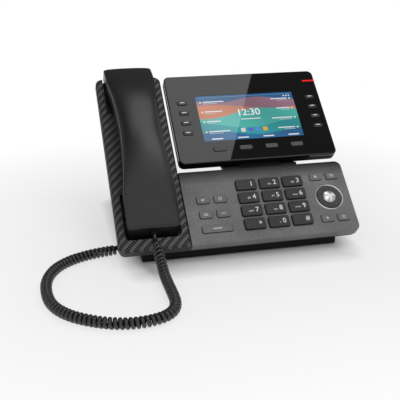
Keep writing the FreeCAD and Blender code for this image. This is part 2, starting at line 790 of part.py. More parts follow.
def build_lower_housing():
    """L-shaped tray with a deeper electronics box, hinge ears, screw holes and the handset socket."""
    body = new_body("lower_housing")
    inset = S.tray_inset

    def ell(rim):
        return [
            (LEFT + rim, rim),
            (RIGHT - rim, rim),
            (RIGHT - rim, PANEL_LENGTH - rim),
            (SPLIT - rim, PANEL_LENGTH - rim),
            (SPLIT - rim, CRADLE_LENGTH - rim),
            (LEFT + rim, CRADLE_LENGTH - rim),
        ]

    outer = sketch_on(body, "outline", TRAY_TOP)
    draw_outline(outer, ell(inset))
    extrude(body, outer, S.slab_depth + TRAY_TOP, down=True)
    dress(
        body,
        "Fillet",
        "corners",
        S.slab_corner - inset,
        lambda edge: upright(edge) and not near(edge, SPLIT - inset, PANEL_LENGTH - inset),
    )
    dress(body, "Chamfer", "underside", S.tray_floor / 2, lambda edge: level_at(edge, -S.slab_depth))
    box = sketch_on(body, "box", -S.slab_depth)
    draw_outline(box, rectangle(-S.box_left, S.box_right, S.box_front, BOX_BACK))
    extrude(body, box, S.box_depth - S.slab_depth, down=True)
    inside = sketch_on(body, "inside", TRAY_TOP)
    draw_outline(inside, ell(inset + S.tray_wall))
    cut(body, inside, TRAY_TOP - FLOOR_TOP)
    wall = S.tray_wall
    deep = sketch_on(body, "box_inside", FLOOR_TOP)
    draw_outline(
        deep,
        rectangle(wall - S.box_left, S.box_right - wall, S.box_front + wall, BOX_BACK - wall),
    )
    cut(body, deep, FLOOR_TOP - BOX_FLOOR_TOP)
    mouths = sketch_on(body, "socket_mouths", BOX_FLOOR_TOP)
    gap = S.plug_clearance * 2
    for x in socket_places():
        draw_outline(mouths, centred(x, S.socket_front, S.socket_width + gap, S.socket_length + gap))
    cut(body, mouths, S.tray_floor)
    pillars = sketch_on(body, "pillars", FLOOR_TOP)
    for x, y in pillar_spots():
        draw_circle(pillars, (x, y), S.pillar_radius)
    extrude(body, pillars, BOARD_BOTTOM - S.seat_gap - FLOOR_TOP)
    holes = sketch_on(body, "screw_holes", FLOOR_TOP)
    for spot in screw_spots():
        draw_circle(holes, spot, S.screw_hole)
    cut(body, holes, S.tray_floor)
    jack = sketch_on(body, "handset_jack", FLOOR_TOP)
    spot = (S.base_plug_left, S.base_plug_front)
    rim = S.jack_wall * 2 + gap
    draw_outline(jack, centred(*spot, S.plug_width + rim, S.plug_height + rim))
    extrude(body, jack, S.plug_length - S.base_plug_proud - S.tray_floor + S.plug_clearance + S.jack_wall)
    bore = sketch_on(body, "handset_jack_bore", -S.slab_depth)
    draw_outline(bore, centred(*spot, S.plug_width + gap, S.plug_height + gap))
    cut(body, bore, S.plug_length - S.base_plug_proud + S.plug_clearance, up=True)
    ears = (
        ("left_ear", HINGE_MIDDLE - S.lug_width / 2 - S.hinge_gap - S.ear_width),
        ("right_ear", HINGE_MIDDLE + S.lug_width / 2 + S.hinge_gap),
    )
    axis = (HINGE_FRONT, -S.hinge_below)
    low, high = -(S.hinge_below + S.knuckle_radius), S.knuckle_radius - S.hinge_below
    step = PANEL_LENGTH + S.hinge_gap
    for name, level in ears:
        ear = sketch_on(body, name, level, role="YZ_Plane")
        draw_outline(
            ear,
            [
                (PANEL_LENGTH - inset - wall / 2, low),
                (HINGE_FRONT, low),
                Via(HINGE_FRONT + S.knuckle_radius, -S.hinge_below),
                (HINGE_FRONT, high),
                (step, high),
                (step, TRAY_TOP),
                (PANEL_LENGTH - inset - wall / 2, TRAY_TOP),
            ],
        )
        extrude(body, ear, S.ear_width)
    bore = sketch_on(body, "pin_bore", HINGE_MIDDLE, role="YZ_Plane")
    draw_circle(bore, axis, S.pin_radius + S.pin_clearance)
    cut(body, bore, S.lug_width + S.ear_width * 4, symmetric=True)


def socket_places():
    return (S.socket_left, S.socket_left + S.socket_pitch)


def pillar_spots():
    """Two pillars on the tray's floor, before the electronics box, that carry the main board."""
    front = S.box_front - S.pillar_radius * 2
    return ((MAIN_BOARD_LEFT + S.pillar_radius, front), (RIGHT - S.main_board_inset * 2, front))


def build_boards():
    """Main board on its pillars and the rubber mat that lies on it under the keys."""
    board = new_body("main_board")
    inset = S.main_board_inset
    back = PANEL_LENGTH - S.screw_inset - S.boss_radius * 1.5
    area = rectangle(MAIN_BOARD_LEFT, RIGHT - inset, inset, back)
    outline = sketch_on(board, "outline", BOARD_BOTTOM)
    draw_outline(outline, area)
    extrude(board, outline, S.board_plate)
    mat = new_body("keypad_mat")
    outline = sketch_on(mat, "outline", BOARD_TOP + S.seat_gap)
    draw_outline(outline, area)
    extrude(mat, outline, S.mat_plate)


def build_sockets():
    """Two network sockets that hang from the main board and open through the box's floor."""
    shells = []
    top = BOARD_BOTTOM - S.seat_gap
    for index, x in enumerate(socket_places()):
        block = doc.addObject("Part::Box", f"socket_block_{index + 1}")
        block.setExpression("Length", S.socket_width.text)
        block.setExpression("Width", S.socket_length.text)
        block.setExpression("Height", (top + S.box_depth).text)
        block.Placement = on_slab(x - S.socket_width / 2, S.socket_front - S.socket_length / 2, -S.box_depth)
        bore = doc.addObject("Part::Box", f"socket_bore_{index + 1}")
        bore.setExpression("Length", S.socket_bore_width.text)
        bore.setExpression("Width", S.socket_bore_length.text)
        bore.setExpression("Height", S.socket_bore_depth.text)
        bore.Placement = on_slab(
            x - S.socket_bore_width / 2, S.socket_front - S.socket_bore_length / 2, -S.box_depth
        )
        shell = doc.addObject("Part::Cut", f"socket_{index + 1}")
        shell.Base = block
        shell.Tool = bore
        shells.append(shell)
    add_group("network_jacks", shells)


def build_loudspeaker():
    """Round loudspeaker under the cradle's grille: basket, cone dish and magnet in one turned profile."""
    top = -(S.cover_plate + S.seat_gap)
    body = new_body("loudspeaker", on_slab(CRADLE_MIDDLE, S.speaker_middle, top))
    profile = sketch_on(body, "profile", role="XZ_Plane")
    outer, deep = S.speaker_radius, S.speaker_depth
    draw_outline(
        profile,
        [
            (as_size(0), -deep),
            (outer / 2, -deep),
            (outer / 2, -deep / 2),
            (outer, -deep / 4),
            (outer, as_size(0)),
            (outer - S.cover_wall, as_size(0)),
            (outer / 3, -deep / 3),
            (as_size(0), -deep / 4),
        ],
    )
    revolve(body, profile)


def build_hook_switch():
    """Plunger that the resting handset holds down, level with the floor of the ear well."""
    body = new_body("hook_switch", on_slab(CRADLE_MIDDLE, HOOK_MIDDLE, -S.well_depth))
    outline = sketch_on(body, "outline")
    draw_outline(outline, centred(as_size(0), as_size(0), S.hook_width, S.hook_length))
    extrude(body, outline, S.hook_height, down=True)
    dress(body, "Chamfer", "bevel", S.key_bevel, lambda edge: level_at(edge, 0))


def build_screws():
    """Pan-head screws that close the slab from below."""
    screws = []
    for index, (x, y) in enumerate(screw_spots()):
        head = cylinder(
            f"screw_head_{index + 1}",
            S.screw_head_radius,
            S.screw_head,
            on_slab(x, y, -(S.slab_depth + S.screw_head)),
        )
        place = on_slab(x, y, -S.slab_depth)
        shaft = cylinder(f"screw_shaft_{index + 1}", S.screw_radius, S.screw_length, place)
        screw = doc.addObject("Part::Fuse", f"screw_{index + 1}")
        screw.Base = head
        screw.Tool = shaft
        screws.append(screw)
    add_group("housing_screws", screws)


def build_display():
    """Glossy front, rear tub with the hinge lug, screen, board and call light."""
    left, right, front, back = DISPLAY_LEFT, DISPLAY_RIGHT, DISPLAY_FRONT, DISPLAY_BACK
    bezel = new_body("display_bezel")
    outer = sketch_on(bezel, "outline", S.display_proud)
    draw_outline(outer, rectangle(left, right, front, back))
    extrude(bezel, outer, S.bezel_depth, down=True)
    dress(bezel, "Fillet", "corners", S.display_corner, upright)
    dress(bezel, "Fillet", "edges", S.display_edge, lambda edge: level_at(edge, S.display_proud))
    inner = sketch_on(bezel, "inside", S.display_proud - S.bezel_plate)
    wall = S.bezel_wall
    draw_outline(inner, rounded(left + wall, right - wall, front + wall, back - wall, S.display_corner - wall))
    cut(bezel, inner, S.bezel_depth - S.bezel_plate)
    window = sketch_on(bezel, "window", S.display_proud)
    draw_outline(window, screen_area(as_size(0)))
    cut(bezel, window, S.bezel_plate)
    key_openings(bezel, list(display_keys()), S.display_proud, S.bezel_plate)
    groove = sketch_on(bezel, "light_groove", S.display_proud)
    half = S.light_width / 2 + S.light_clearance
    draw_outline(
        groove,
        rectangle(
            right - S.light_length - S.light_clearance,
            right + S.light_length,
            LIGHT_FRONT - half,
            LIGHT_FRONT + half,
        ),
    )
    cut(bezel, groove, S.light_depth + S.light_clearance)

    light = new_body("call_light")
    bar = sketch_on(light, "bar", S.display_proud - S.light_depth)
    draw_outline(
        bar,
        rectangle(
            right - S.light_length,
            right,
            LIGHT_FRONT - S.light_width / 2,
            LIGHT_FRONT + S.light_width / 2,
        ),
    )
    extrude(light, bar, S.light_depth)
    dress(
        light,
        "Fillet",
        "edge",
        S.light_depth / 2,
        lambda edge: level_at(edge, S.display_proud) and near(edge, right),
    )

    rear = new_body("display_rear_housing")
    outer = sketch_on(rear, "outline", BEZEL_BACK)
    draw_outline(outer, rectangle(left, right, front, back))
    extrude(rear, outer, S.display_depth - S.bezel_depth, down=True)
    dress(rear, "Fillet", "corners", S.display_corner, upright)
    dress(rear, "Fillet", "edges", S.rear_edge, lambda edge: level_at(edge, DISPLAY_REAR))
    inner = sketch_on(rear, "inside", BEZEL_BACK)
    wall = S.rear_wall
    draw_outline(inner, rounded(left + wall, right - wall, front + wall, back - wall, S.display_corner - wall))
    cut(rear, inner, S.display_depth - S.bezel_depth - S.rear_floor)
    lug = sketch_on(rear, "lug", HINGE_MIDDLE, role="YZ_Plane")
    low, high = -(S.hinge_below + S.knuckle_radius), S.knuckle_radius - S.hinge_below
    draw_outline(
        lug,
        [
            (HINGE_FRONT, high),
            Via(HINGE_FRONT - S.knuckle_radius, -S.hinge_below),
            (HINGE_FRONT, low),
            (front + wall + S.rear_edge, low),
            (front + wall + S.rear_edge, DISPLAY_REAR + S.rear_floor / 2),
            (front + wall / 2, DISPLAY_REAR + S.rear_floor / 2),
            (front + wall / 2, high),
        ],
    )
    extrude(rear, lug, S.lug_width, symmetric=True)
    bore = sketch_on(rear, "pin_bore", HINGE_MIDDLE, role="YZ_Plane")
    draw_circle(bore, (HINGE_FRONT, -S.hinge_below), S.pin_radius + S.pin_clearance)
    cut(rear, bore, S.lug_width * 2, symmetric=True)

    lcd = new_body("lcd_module")
    face = sketch_on(lcd, "face", S.display_proud - S.screen_sink)
    draw_outline(face, screen_area(S.screen_clearance))
    behind = S.bezel_plate + S.seat_gap
    extrude(lcd, face, behind - S.screen_sink, down=True)
    frame = sketch_on(lcd, "frame", S.display_proud - behind)
    draw_outline(frame, screen_area(-S.lcd_margin))
    extrude(lcd, frame, S.lcd_depth, down=True)

    board = new_body("display_board")
    margin = S.display_board_margin
    outline = sketch_on(board, "outline", DISPLAY_REAR + S.rear_floor + S.seat_gap)
    draw_outline(outline, rectangle(left + margin, right - margin, front + margin, back - margin))
    extrude(board, outline, S.board_plate)

    length = S.lug_width + (S.ear_width + S.hinge_gap) * 2
    pin = cylinder(
        "hinge_pin",
        S.pin_radius,
        length,
        on_slab(HINGE_MIDDLE - length / 2, HINGE_FRONT, -S.hinge_below).multiply(
            Placement(Vector(), Rotation(Vector(0, 1, 0), 90))
        ),
    )
    pieces.append(pin)


def screen_area(inset):
    return rectangle(
        SCREEN_LEFT + inset,
        SCREEN_LEFT + S.screen_width - inset,
        SCREEN_FRONT + inset,
        SCREEN_FRONT + S.screen_length - inset,
    )


def arch(crown, end, share):
    """Point at a share of the way from the crown to the end, on the arc that is level at its crown."""
    run, drop = end[0] - crown[0], crown[1] - end[1]
    radius = (run * run + drop * drop) / (2 * drop)
    angle = math.asin(run / radius) * share
    return crown[0] + radius * math.sin(angle), crown[1] - radius * (1 - math.cos(angle))


def level_arch(start, crown, end):
    """Corners and arc points of a curve that rises from start to a level crown and falls to end."""
    values = [(as_size(x).value, as_size(y).value) for x, y in (start, crown, end)]
    rising = arch(values[1], values[0], 0.5)
    falling = arch(values[1], values[2], 0.5)
    return [start, Via(*rising), crown, Via(*falling), end]


def waist_side(half):
    """Right side of the handset seen from above: straight ends that bend smoothly into a long waist arc."""
    waist, middle = S.waist_width.value / 2, WAIST_MIDDLE.value
    blend, radius = S.waist_blend.value, S.waist_radius.value
    reach = radius + blend
    run = math.sqrt(reach * reach - (reach - half.value + waist) ** 2)
    lean = math.asin(run / reach)
    turn_x = half.value - blend
    bend = Vector(turn_x + blend * math.cos(lean / 2), blend * math.sin(lean / 2), 0)
    meet = Vector(turn_x + blend * math.cos(lean), blend * math.sin(lean), 0)
    return [
        (half, middle - run),
        Via(bend.x, middle - run + bend.y),
        (meet.x, middle - run + meet.y),
        Via(waist, middle),
        (meet.x, middle + run - meet.y),
        Via(bend.x, middle + run - bend.y),
        (half, middle + run),
    ]


def handset_outside(body):
    """Whole outer form of the handset: its side view, cut to the waisted plan, with one long round."""
    sunk = -S.handset_sunk
    mouth_top = (S.mouth_top_front, S.mouth_top_height)
    ear_top = (EAR_TOP_BACK, S.ear_top_height)
    crown = (CROWN_MIDDLE, S.crown_height)
    side = sketch_on(body, "side", role="YZ_Plane")
    foot = [(S.handset_back, sunk), (S.handset_front, sunk)]
    draw_outline(side, level_arch(mouth_top, crown, ear_top) + foot)
    extrude(body, side, S.handset_width * 1.5, symmetric=True)
    dress(
        body,
        "Fillet",
        "ends",
        S.handset_edge,
        lambda edge: near(edge, None, mouth_top[0]) and level_at(edge, mouth_top[1])
        or near(edge, None, ear_top[0]) and level_at(edge, ear_top[1]),
    )
    half, reach = S.handset_width / 2, S.handset_width
    right = [(half, S.handset_front - reach / 2)] + waist_side(half) + [(half, S.handset_back + reach / 2)]
    left = [Via(-item.x, item.y) if isinstance(item, Via) else (-item[0], item[1]) for item in reversed(right)]
    frame = sketch_on(body, "plan")
    draw_outline(frame, rectangle(-reach, reach, S.handset_front - reach, S.handset_back + reach))
    draw_outline(frame, right + left)
    cut(body, frame, S.crown_height * 4, symmetric=True)

    def along_back(edge):
        touching = [vertex.Point for vertex in edge.Vertexes if vertex.Point.z > S.crown_height.value - 0.01]
        return len(touching) == 1 and abs(touching[0].y - CROWN_MIDDLE.value) < 0.01

    dress(body, "Fillet", "edges", S.handset_edge, along_back)


def part_handset(body, drop, beyond):
    """Cut away the side of the arched parting line that lies towards beyond."""
    start = (S.handset_front, S.parting_mouth - drop)
    crown = (CROWN_MIDDLE, S.parting_crown - drop)
    end = (S.handset_back, S.parting_ear - drop)
    reach = S.handset_edge
    near_side, far_side = start[0] - reach, end[0] + reach
    away = [(far_side, end[1]), (far_side, beyond), (near_side, beyond), (near_side, start[1])]
    parting = sketch_on(body, "parting", role="YZ_Plane")
    draw_outline(parting, level_arch(start, crown, end) + away)
    cut(body, parting, S.handset_width * 2, symmetric=True)


def build_handset():
    """Arched back shell and face shell with a thin seam, and what they hold."""
    place = on_slab(CRADLE_MIDDLE, 0)
    wall = S.handset_wall
    sunk = -S.handset_sunk
    floor = sunk + wall

    back = new_body("handset_back_shell", place)
    handset_outside(back)
    part_handset(back, as_size(0), -S.crown_height)
    inside = sketch_on(back, "inside", role="YZ_Plane")
    inner_crown = (CROWN_MIDDLE, S.crown_height - wall)
    inner_start = (S.mouth_top_front + wall * 4, S.mouth_top_height + wall / 2)
    inner_end = (EAR_TOP_BACK - wall * 4, S.ear_top_height + wall / 2)
    curve = level_arch(inner_start, inner_crown, inner_end)
    draw_outline(inside, curve + [(inner_end[0], sunk), (inner_start[0], sunk)])
    cut(back, inside, S.cavity_width, symmetric=True)

    face = new_body("handset_face_shell", place)
    handset_outside(face)
    part_handset(face, S.seam, S.crown_height * 2)
    grip = sketch_on(face, "grip", role="YZ_Plane")
    grip_middle = (S.arch_front + ARCH_BACK) / 2
    draw_outline(
        grip,
        [(S.arch_front, sunk), Via(grip_middle, S.arch_height), (ARCH_BACK, sunk)],
    )
    cut(face, grip, S.handset_width * 2, symmetric=True)
    inside = sketch_on(face, "inside", role="YZ_Plane")
    draw_outline(
        inside,
        [
            (S.handset_front + wall * 2, floor),
            (S.arch_front - wall, floor),
            Via(grip_middle, S.arch_height + wall),
            (ARCH_BACK + wall, floor),
            (S.handset_back - wall * 2, floor),
            (S.handset_back - wall * 2, S.crown_height * 2),
            (S.handset_front + wall * 2, S.crown_height * 2),
        ],
    )
    cut(face, inside, S.cavity_width, symmetric=True)
    holes = sketch_on(face, "sound_holes", sunk)
    for step in range(6):
        angle = math.radians(60 * step)
        draw_circle(
            holes,
            (S.sound_hole_circle * math.cos(angle), RECEIVER_MIDDLE + S.sound_hole_circle * math.sin(angle)),
            S.sound_hole_radius,
        )
    draw_circle(holes, (as_size(0), S.microphone_middle), S.sound_hole_radius)
    cut(face, holes, wall, up=True)
    entry = sketch_on(face, "plug_entry", role="XZ_Plane")
    gap = S.plug_clearance * 2
    draw_outline(entry, centred(as_size(0), S.plug_level, S.plug_width + gap, S.plug_height + gap))
    cut(face, entry, S.handset_front + wall * 2 + S.plug_length)

    for label, radius, depth, middle in (
        ("earpiece_receiver", S.receiver_radius, S.receiver_depth, RECEIVER_MIDDLE),
        ("microphone_capsule", S.microphone_radius, S.microphone_depth, S.microphone_middle),
    ):
        spot = on_slab(CRADLE_MIDDLE, middle, floor + S.seat_gap)
        pieces.append(cylinder(label, radius, depth, spot))

    plug = new_body("handset_plug", place)
    outline = sketch_on(plug, "outline", S.handset_front * -1, role="XZ_Plane")
    draw_outline(outline, centred(as_size(0), S.plug_level, S.plug_width, S.plug_height))
    extrude(plug, outline, S.plug_length, down=True)
    dress(plug, "Chamfer", "bevel", S.key_bevel, lambda edge: near(edge, None, S.handset_front))


def build_base_plug():
    """Plug of the cord in the socket under the cradle."""
    below = -(S.slab_depth + S.base_plug_proud)
    body = new_body("base_plug", on_slab(S.base_plug_left, S.base_plug_front, below))
    outline = sketch_on(body, "outline")
    draw_outline(outline, centred(as_size(0), as_size(0), S.plug_width, S.plug_height))
    extrude(body, outline, S.plug_length)
    dress(body, "Chamfer", "bevel", S.key_bevel, lambda edge: level_at(edge, 0))


def under_slab(y, depth):
    """Point of the desk frame's side view that lies depth below the slab's face, y up the slab."""
    tilt = math.radians(S.slab_tilt.value)
    back = y * math.cos(tilt) + depth * math.sin(tilt)
    return back, S.front_height.value + y * math.sin(tilt) - depth * math.cos(tilt)


def build_stand():
    """Hollow wedge under the slab, open at the top, with windows for the cables, on four rubber pads."""
    body = new_body("stand", DESK)
    seat = S.slab_depth.value + S.stand_gap.value
    tilt = math.tan(math.radians(S.slab_tilt.value))
    front, back, low = S.stand_front, S.stand_back, S.pad_height
    edge_y, edge_z = under_slab(0, seat)
    front_top = edge_z + (front.value - edge_y) * tilt
    top_y, top_z = under_slab(S.stand_top.value, seat)
    wall = S.stand_wall
    profile = sketch_on(body, "profile", role="YZ_Plane")
    draw_outline(
        profile,
        [(front, low), (front, front_top), (top_y, top_z), (back, low + wall), (back, low)],
    )
    extrude(body, profile, S.stand_width, symmetric=True)
    fall = (top_z - low.value - wall.value) / (back.value - top_y)
    thick = wall.value * math.sqrt(1 + fall * fall)
    hollow = sketch_on(body, "hollow", role="YZ_Plane")
    rise = S.crown_height * 2
    inner_back = back.value - (thick / fall) - 1 / fall
    draw_outline(
        hollow,
        [
            (front + wall, low + wall),
            (inner_back, low + wall),
            (top_y - thick / fall, top_z),
            (top_y - thick / fall, rise),
            (front + wall, rise),
        ],
    )
    cut(body, hollow, S.stand_width - S.stand_cheek * 2, symmetric=True)
    window = sketch_on(body, "cable_window", role="XZ_Plane")
    draw_outline(
        window,
        rectangle(-S.window_width / 2, S.window_width / 2, S.window_low, S.window_high),
    )
    cut(body, window, S.stand_back * 2)
    x, y = screw_spots()[2]
    reach = S.screw_head_radius + S.stand_gap
    relief_foot = under_slab((y - reach).value, seat + S.screw_head.value)[1]
    relief = sketch_on(body, "screw_relief", role="XZ_Plane")
    draw_outline(relief, rectangle(x - reach, x + reach, relief_foot, rise))
    cut(body, relief, S.stand_back * 2)
    margin = S.foot_window_margin
    opening = sketch_on(body, "foot_window", low)
    draw_outline(
        opening,
        rectangle(margin - S.stand_width / 2, S.stand_width / 2 - margin, front + margin, back - margin),
    )
    cut(body, opening, wall, up=True)
    pads = []
    inset = S.pad_inset
    half = S.stand_width / 2 - inset
    for index, (x, y) in enumerate(
        ((-half, front + inset), (half, front + inset), (-half, back - inset), (half, back - inset))
    ):
        spot = DESK.multiply(Placement(Vector(x.value, y.value, 0), Rotation()))
        pads.append(cylinder(f"pad_{index + 1}", S.pad_radius, S.pad_height, spot))
    add_group("stand_feet", pads)


def smooth(share):
    share = min(max(share, 0.0), 1.0)
    return share * share * (3 - 2 * share)


def arc_edge(start, heading, end):
    """Arc from start to end that leaves start along heading."""
    chord = end - start
    along = Vector(chord).normalize()
    side = heading - along * heading.dot(along)
    if side.Length < 1e-5:
        return Part.LineSegment(start, end).toShape()
    half_turn = math.acos(max(-1.0, min(1.0, heading.dot(along))))
    middle = (start + end) * 0.5 + side.normalize() * (chord.Length / 2 * math.tan(half_turn / 2))
    return Part.Arc(start, middle, end).toShape()


def biarc(start, heading, end, last_heading):
    """Two arcs that join smoothly and take the path from one point and direction to the next."""
    chord = end - start
    both = chord.dot(heading + last_heading)
    bend = 2 * (1 - heading.dot(last_heading))
    if bend < 1e-9:
        reach = chord.dot(chord) / (4 * chord.dot(last_heading))
    else:
        reach = (math.sqrt(both * both + bend * chord.dot(chord)) - both) / bend
    meet = (start + end + (heading - last_heading) * reach) * 0.5
    first = arc_edge(start, heading, meet)
    return [first, arc_edge(meet, first.tangentAt(first.LastParameter), end)]


def cord_line():
    """Smooth middle line of the cord, from the handset's plug to the base's plug."""
    start = on_slab(CRADLE_MIDDLE, S.handset_front - S.wire_side, S.plug_level).Base
    out = SLAB.Rotation.multVec(Vector(0, -1, 0))
    socket = -(S.slab_depth + S.base_plug_proud + S.wire_side)
    end = on_slab(S.base_plug_left, S.base_plug_front, socket).Base
    down = SLAB.Rotation.multVec(Vector(0, 0, -1))
    lead = S.coil_start.value
    poles = [start, start + out * lead]
    poles += [DESK.multVec(Vector(*point)) for point in CORD_ROUTE]
    poles += [end + down * lead * 3, end]
    curve = Part.BSplineCurve()
    inner = len(poles) - 3
    curve.buildFromPolesMultsKnots(poles, [3] + [1] * inner + [3], list(range(inner + 2)), False, 2)
    return curve, out, down


def build_curly_cord():
    """One unbroken tube: straight ends, and between them a helix round the middle line, laid out in biarcs."""
    line, out, down = cord_line()
    length = line.length()
    count = int(length / 0.25)
    step = length / count
    places = [line.parameterAtDistance(index * step, line.FirstParameter) for index in range(count + 1)]
    middles = [line.value(place) for place in places]
    headings = [Vector(*line.tangent(place)[0]) for place in places]
    sideways = [Vector(1, 0, 0)]
    for heading in headings:
        sideways.append((sideways[-1] - heading * sideways[-1].dot(heading)).normalize())
    sideways = sideways[1:]
    coil_end = length - S.cord_tail.value

    def opened(distance):
        growing = smooth((distance - S.coil_start.value) / S.coil_ramp.value)
        return growing * smooth((coil_end - distance) / S.coil_ramp.value)

    phase = [0.0]
    for index in range(count):
        turn = 2 * math.pi / S.coil_pitch.value * opened((index + 0.5) * step)
        phase.append(phase[-1] + turn * step)
    points = []
    for index in range(count + 1):
        across = sideways[index]
        other = headings[index].cross(across)
        reach = S.coil_radius.value * opened(index * step)
        spoke = across * math.cos(phase[index]) + other * math.sin(phase[index])
        points.append(middles[index] + spoke * reach)

    stops = [0]
    for index in range(1, count - 8):
        turned = phase[index] - phase[stops[-1]]
        quarter = turned >= math.pi / 2 and opened(index * step) < 1
        if quarter or turned >= math.pi or (index - stops[-1]) * step > 6:
            stops.append(index)
    stops.append(count)
    directions = {
        index: (points[min(index + 1, count)] - points[max(index - 1, 0)]).normalize() for index in stops
    }
    directions[0] = headings[0]
    directions[count] = headings[count]
    edges = [Part.LineSegment(points[0] - out * S.wire_side.value, points[0]).toShape()]
    for index, following in zip(stops, stops[1:]):
        edges += biarc(points[index], directions[index], points[following], directions[following])
    edges.append(Part.LineSegment(points[count], points[count] - down * S.wire_side.value).toShape())
    path = Part.Wire(edges)
    tightest = min(edge.Curve.Radius for edge in edges if hasattr(edge.Curve, "Radius"))

    first = points[0] - out * S.wire_side.value
    across, other = sideways[0], headings[0].cross(sideways[0])
    half = S.wire_side.value / 2
    corners = [first + across * a * half + other * b * half for a, b in ((1, 1), (-1, 1), (-1, -1), (1, -1))]
    section = Part.makePolygon(corners + corners[:1])
    shell = Part.BRepOffsetAPI.MakePipeShell(path)
    shell.add(section)
    shell.build()
    shell.makeSolid()
    cord = doc.addObject("Part::Feature", "curly_cord")
    cord.Shape = shell.shape()
    cord.Placement = Placement()
    pieces.append(cord)
    print(f"cord: middle line {length:.1f} mm, wire {path.Length:.1f} mm, {phase[-1] / 2 / math.pi:.1f} curls")
    print(f"cord: tightest arc {tightest:.2f} mm, least gap to itself {least_gap(points, step):.2f} mm")
    swept = S.wire_side.value ** 2 * path.Length
    print(f"cord: volume {cord.Shape.Volume:.1f} mm3, section times length {swept:.1f} mm3")


def least_gap(points, step):
    """Least distance between two turns of the wire, measured on its points, less the wire."""
    cell = 6.0
    grid = {}
    travelled = [0.0]
    for before, after in zip(points, points[1:]):
        travelled.append(travelled[-1] + (after - before).Length)
    for index, point in enumerate(points):
        grid.setdefault(tuple(int(value // cell) for value in point), []).append(index)
    apart = S.wire_side.value * 4
    least = cell
    steps = (-1, 0, 1)
    for index, point in enumerate(points):
        home = [int(value // cell) for value in point]
        for dx in steps:
            for dy in steps:
                for dz in steps:
                    for other in grid.get((home[0] + dx, home[1] + dy, home[2] + dz), ()):
                        if travelled[other] - travelled[index] > apart:
                            least = min(least, point.distanceToPoint(points[other]))
    return least - S.wire_side.value


build_cradle_cover()
build_keypad_panel()
build_lower_housing()
build_boards()
build_sockets()
build_loudspeaker()
build_hook_switch()
build_screws()
for item in list(dial_keys()) + list(function_keys()):
    build_key(item, KEY_SEAT, as_size(0))
build_navigation()
build_display()
for item in display_keys():
    build_key(item, SMALL_KEY_SEAT, S.display_proud)
build_handset()
build_base_plug()
build_stand()
build_curly_cord()
doc.recompute()

for item in doc.Objects:
    if "Invalid" in item.State or "Error" in item.State:
        raise RuntimeError(f"{item.Label}: {item.State}")
for piece in pieces:
    if piece.Shape.isNull() or not piece.Shape.isValid():
        raise RuntimeError(f"{piece.Label} has no valid shape")

os.makedirs("parts", exist_ok=True)
for piece in pieces:
    piece.Shape.exportStep(os.path.join("parts", f"{piece.Label}.step"))
print(f"{len(pieces)} pieces")
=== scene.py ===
"""Looks of a desk phone: cord, handset, legends, screen picture, finishes, light and camera."""

import logging
import math
from dataclasses import dataclass, field
from enum import Enum
from functools import cached_property
from typing import Iterable, Sequence

import bpy
import numpy as np
from mathutils import Matrix, Vector


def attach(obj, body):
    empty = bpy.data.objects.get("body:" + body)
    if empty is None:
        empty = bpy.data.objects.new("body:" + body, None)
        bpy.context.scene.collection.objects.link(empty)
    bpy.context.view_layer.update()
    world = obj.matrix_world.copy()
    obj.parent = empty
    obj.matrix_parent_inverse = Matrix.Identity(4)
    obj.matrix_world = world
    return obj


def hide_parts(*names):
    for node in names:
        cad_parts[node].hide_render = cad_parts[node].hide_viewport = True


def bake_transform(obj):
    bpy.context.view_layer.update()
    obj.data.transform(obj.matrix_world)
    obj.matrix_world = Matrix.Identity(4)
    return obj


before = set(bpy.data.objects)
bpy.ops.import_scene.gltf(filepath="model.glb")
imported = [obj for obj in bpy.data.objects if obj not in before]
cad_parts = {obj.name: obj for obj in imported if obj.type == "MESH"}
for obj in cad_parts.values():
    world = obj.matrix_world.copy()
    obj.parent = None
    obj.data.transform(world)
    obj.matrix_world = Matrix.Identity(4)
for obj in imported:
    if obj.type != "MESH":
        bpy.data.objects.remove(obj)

LOG = logging.getLogger("desk_phone")
MM = 0.001
TURN = 2 * math.pi
ROW_X = np.array([1.0, 0.0, 0.0])
WHITE = (1.0, 1.0, 1.0, 1.0)

# Range that most of a noise's values lie in, and how far gloss moves a roughness either way.
NOISE_SPAN = (0.3, 0.7)
GLOSS_SWING = 0.05

Span = tuple[float, float]
Place = tuple[float, float, float]
Colour = tuple[float, float, float]
Flat = tuple[np.ndarray, list[list[int]]]
Painted = tuple[Flat, Colour]


class Side(Enum):
    """Left or right of a middle line."""

    LEFT = -1
    RIGHT = 1


class Along(Enum):
    """Direction of the slab's frame, as a shader names it: up the slab or out of it."""

    SLAB = "Y"
    OUT = "Z"


class Mark(Enum):
    """Plain signs printed on the function keys."""

    BAR = "bar"
    RING = "ring"
    CROSS = "cross"
    ARROW = "arrow"
    TWO_BARS = "two_bars"
    DOTS = "dots"


@dataclass(frozen=True)
class SlabFrame:
    """The tilted frame of the slab: x across, s up the slab and h out of it, in millimetres."""

    tilt: float = 40.3
    front_edge: float = 85.46
    front_height: float = 18.0

    def to_row(self, points: np.ndarray) -> np.ndarray:
        """Turn slab points into row points: y = s cos - h sin - edge, z = s sin + h cos + height.

        Args:
            points: array of (..., 3) slab coordinates in millimetres.

        Returns:
            Array of the same shape in metres, in the row frame.
        """
        angle = math.radians(self.tilt)
        x, s, h = points[..., 0], points[..., 1], points[..., 2]
        y = s * math.cos(angle) - h * math.sin(angle) - self.front_edge
        z = s * math.sin(angle) + h * math.cos(angle) + self.front_height
        return np.stack([x, y, z], axis=-1) * MM

    def desk_to_row(self, points: np.ndarray) -> np.ndarray:
        """Shift desk points, measured from under the slab's front edge in millimetres, to row metres."""
        return (points - np.array([0.0, self.front_edge, 0.0])) * MM

    def mapping(self) -> tuple[Vector, Place]:
        """Work out how a Mapping node turns row metres into slab metres.

        Returns:
            Location and rotation of the node.
        """
        turn = Matrix.Rotation(-math.radians(self.tilt), 3, "X")
        origin = Vector((0.0, -self.front_edge * MM, self.front_height * MM))
        return -(turn @ origin), (-math.radians(self.tilt), 0.0, 0.0)


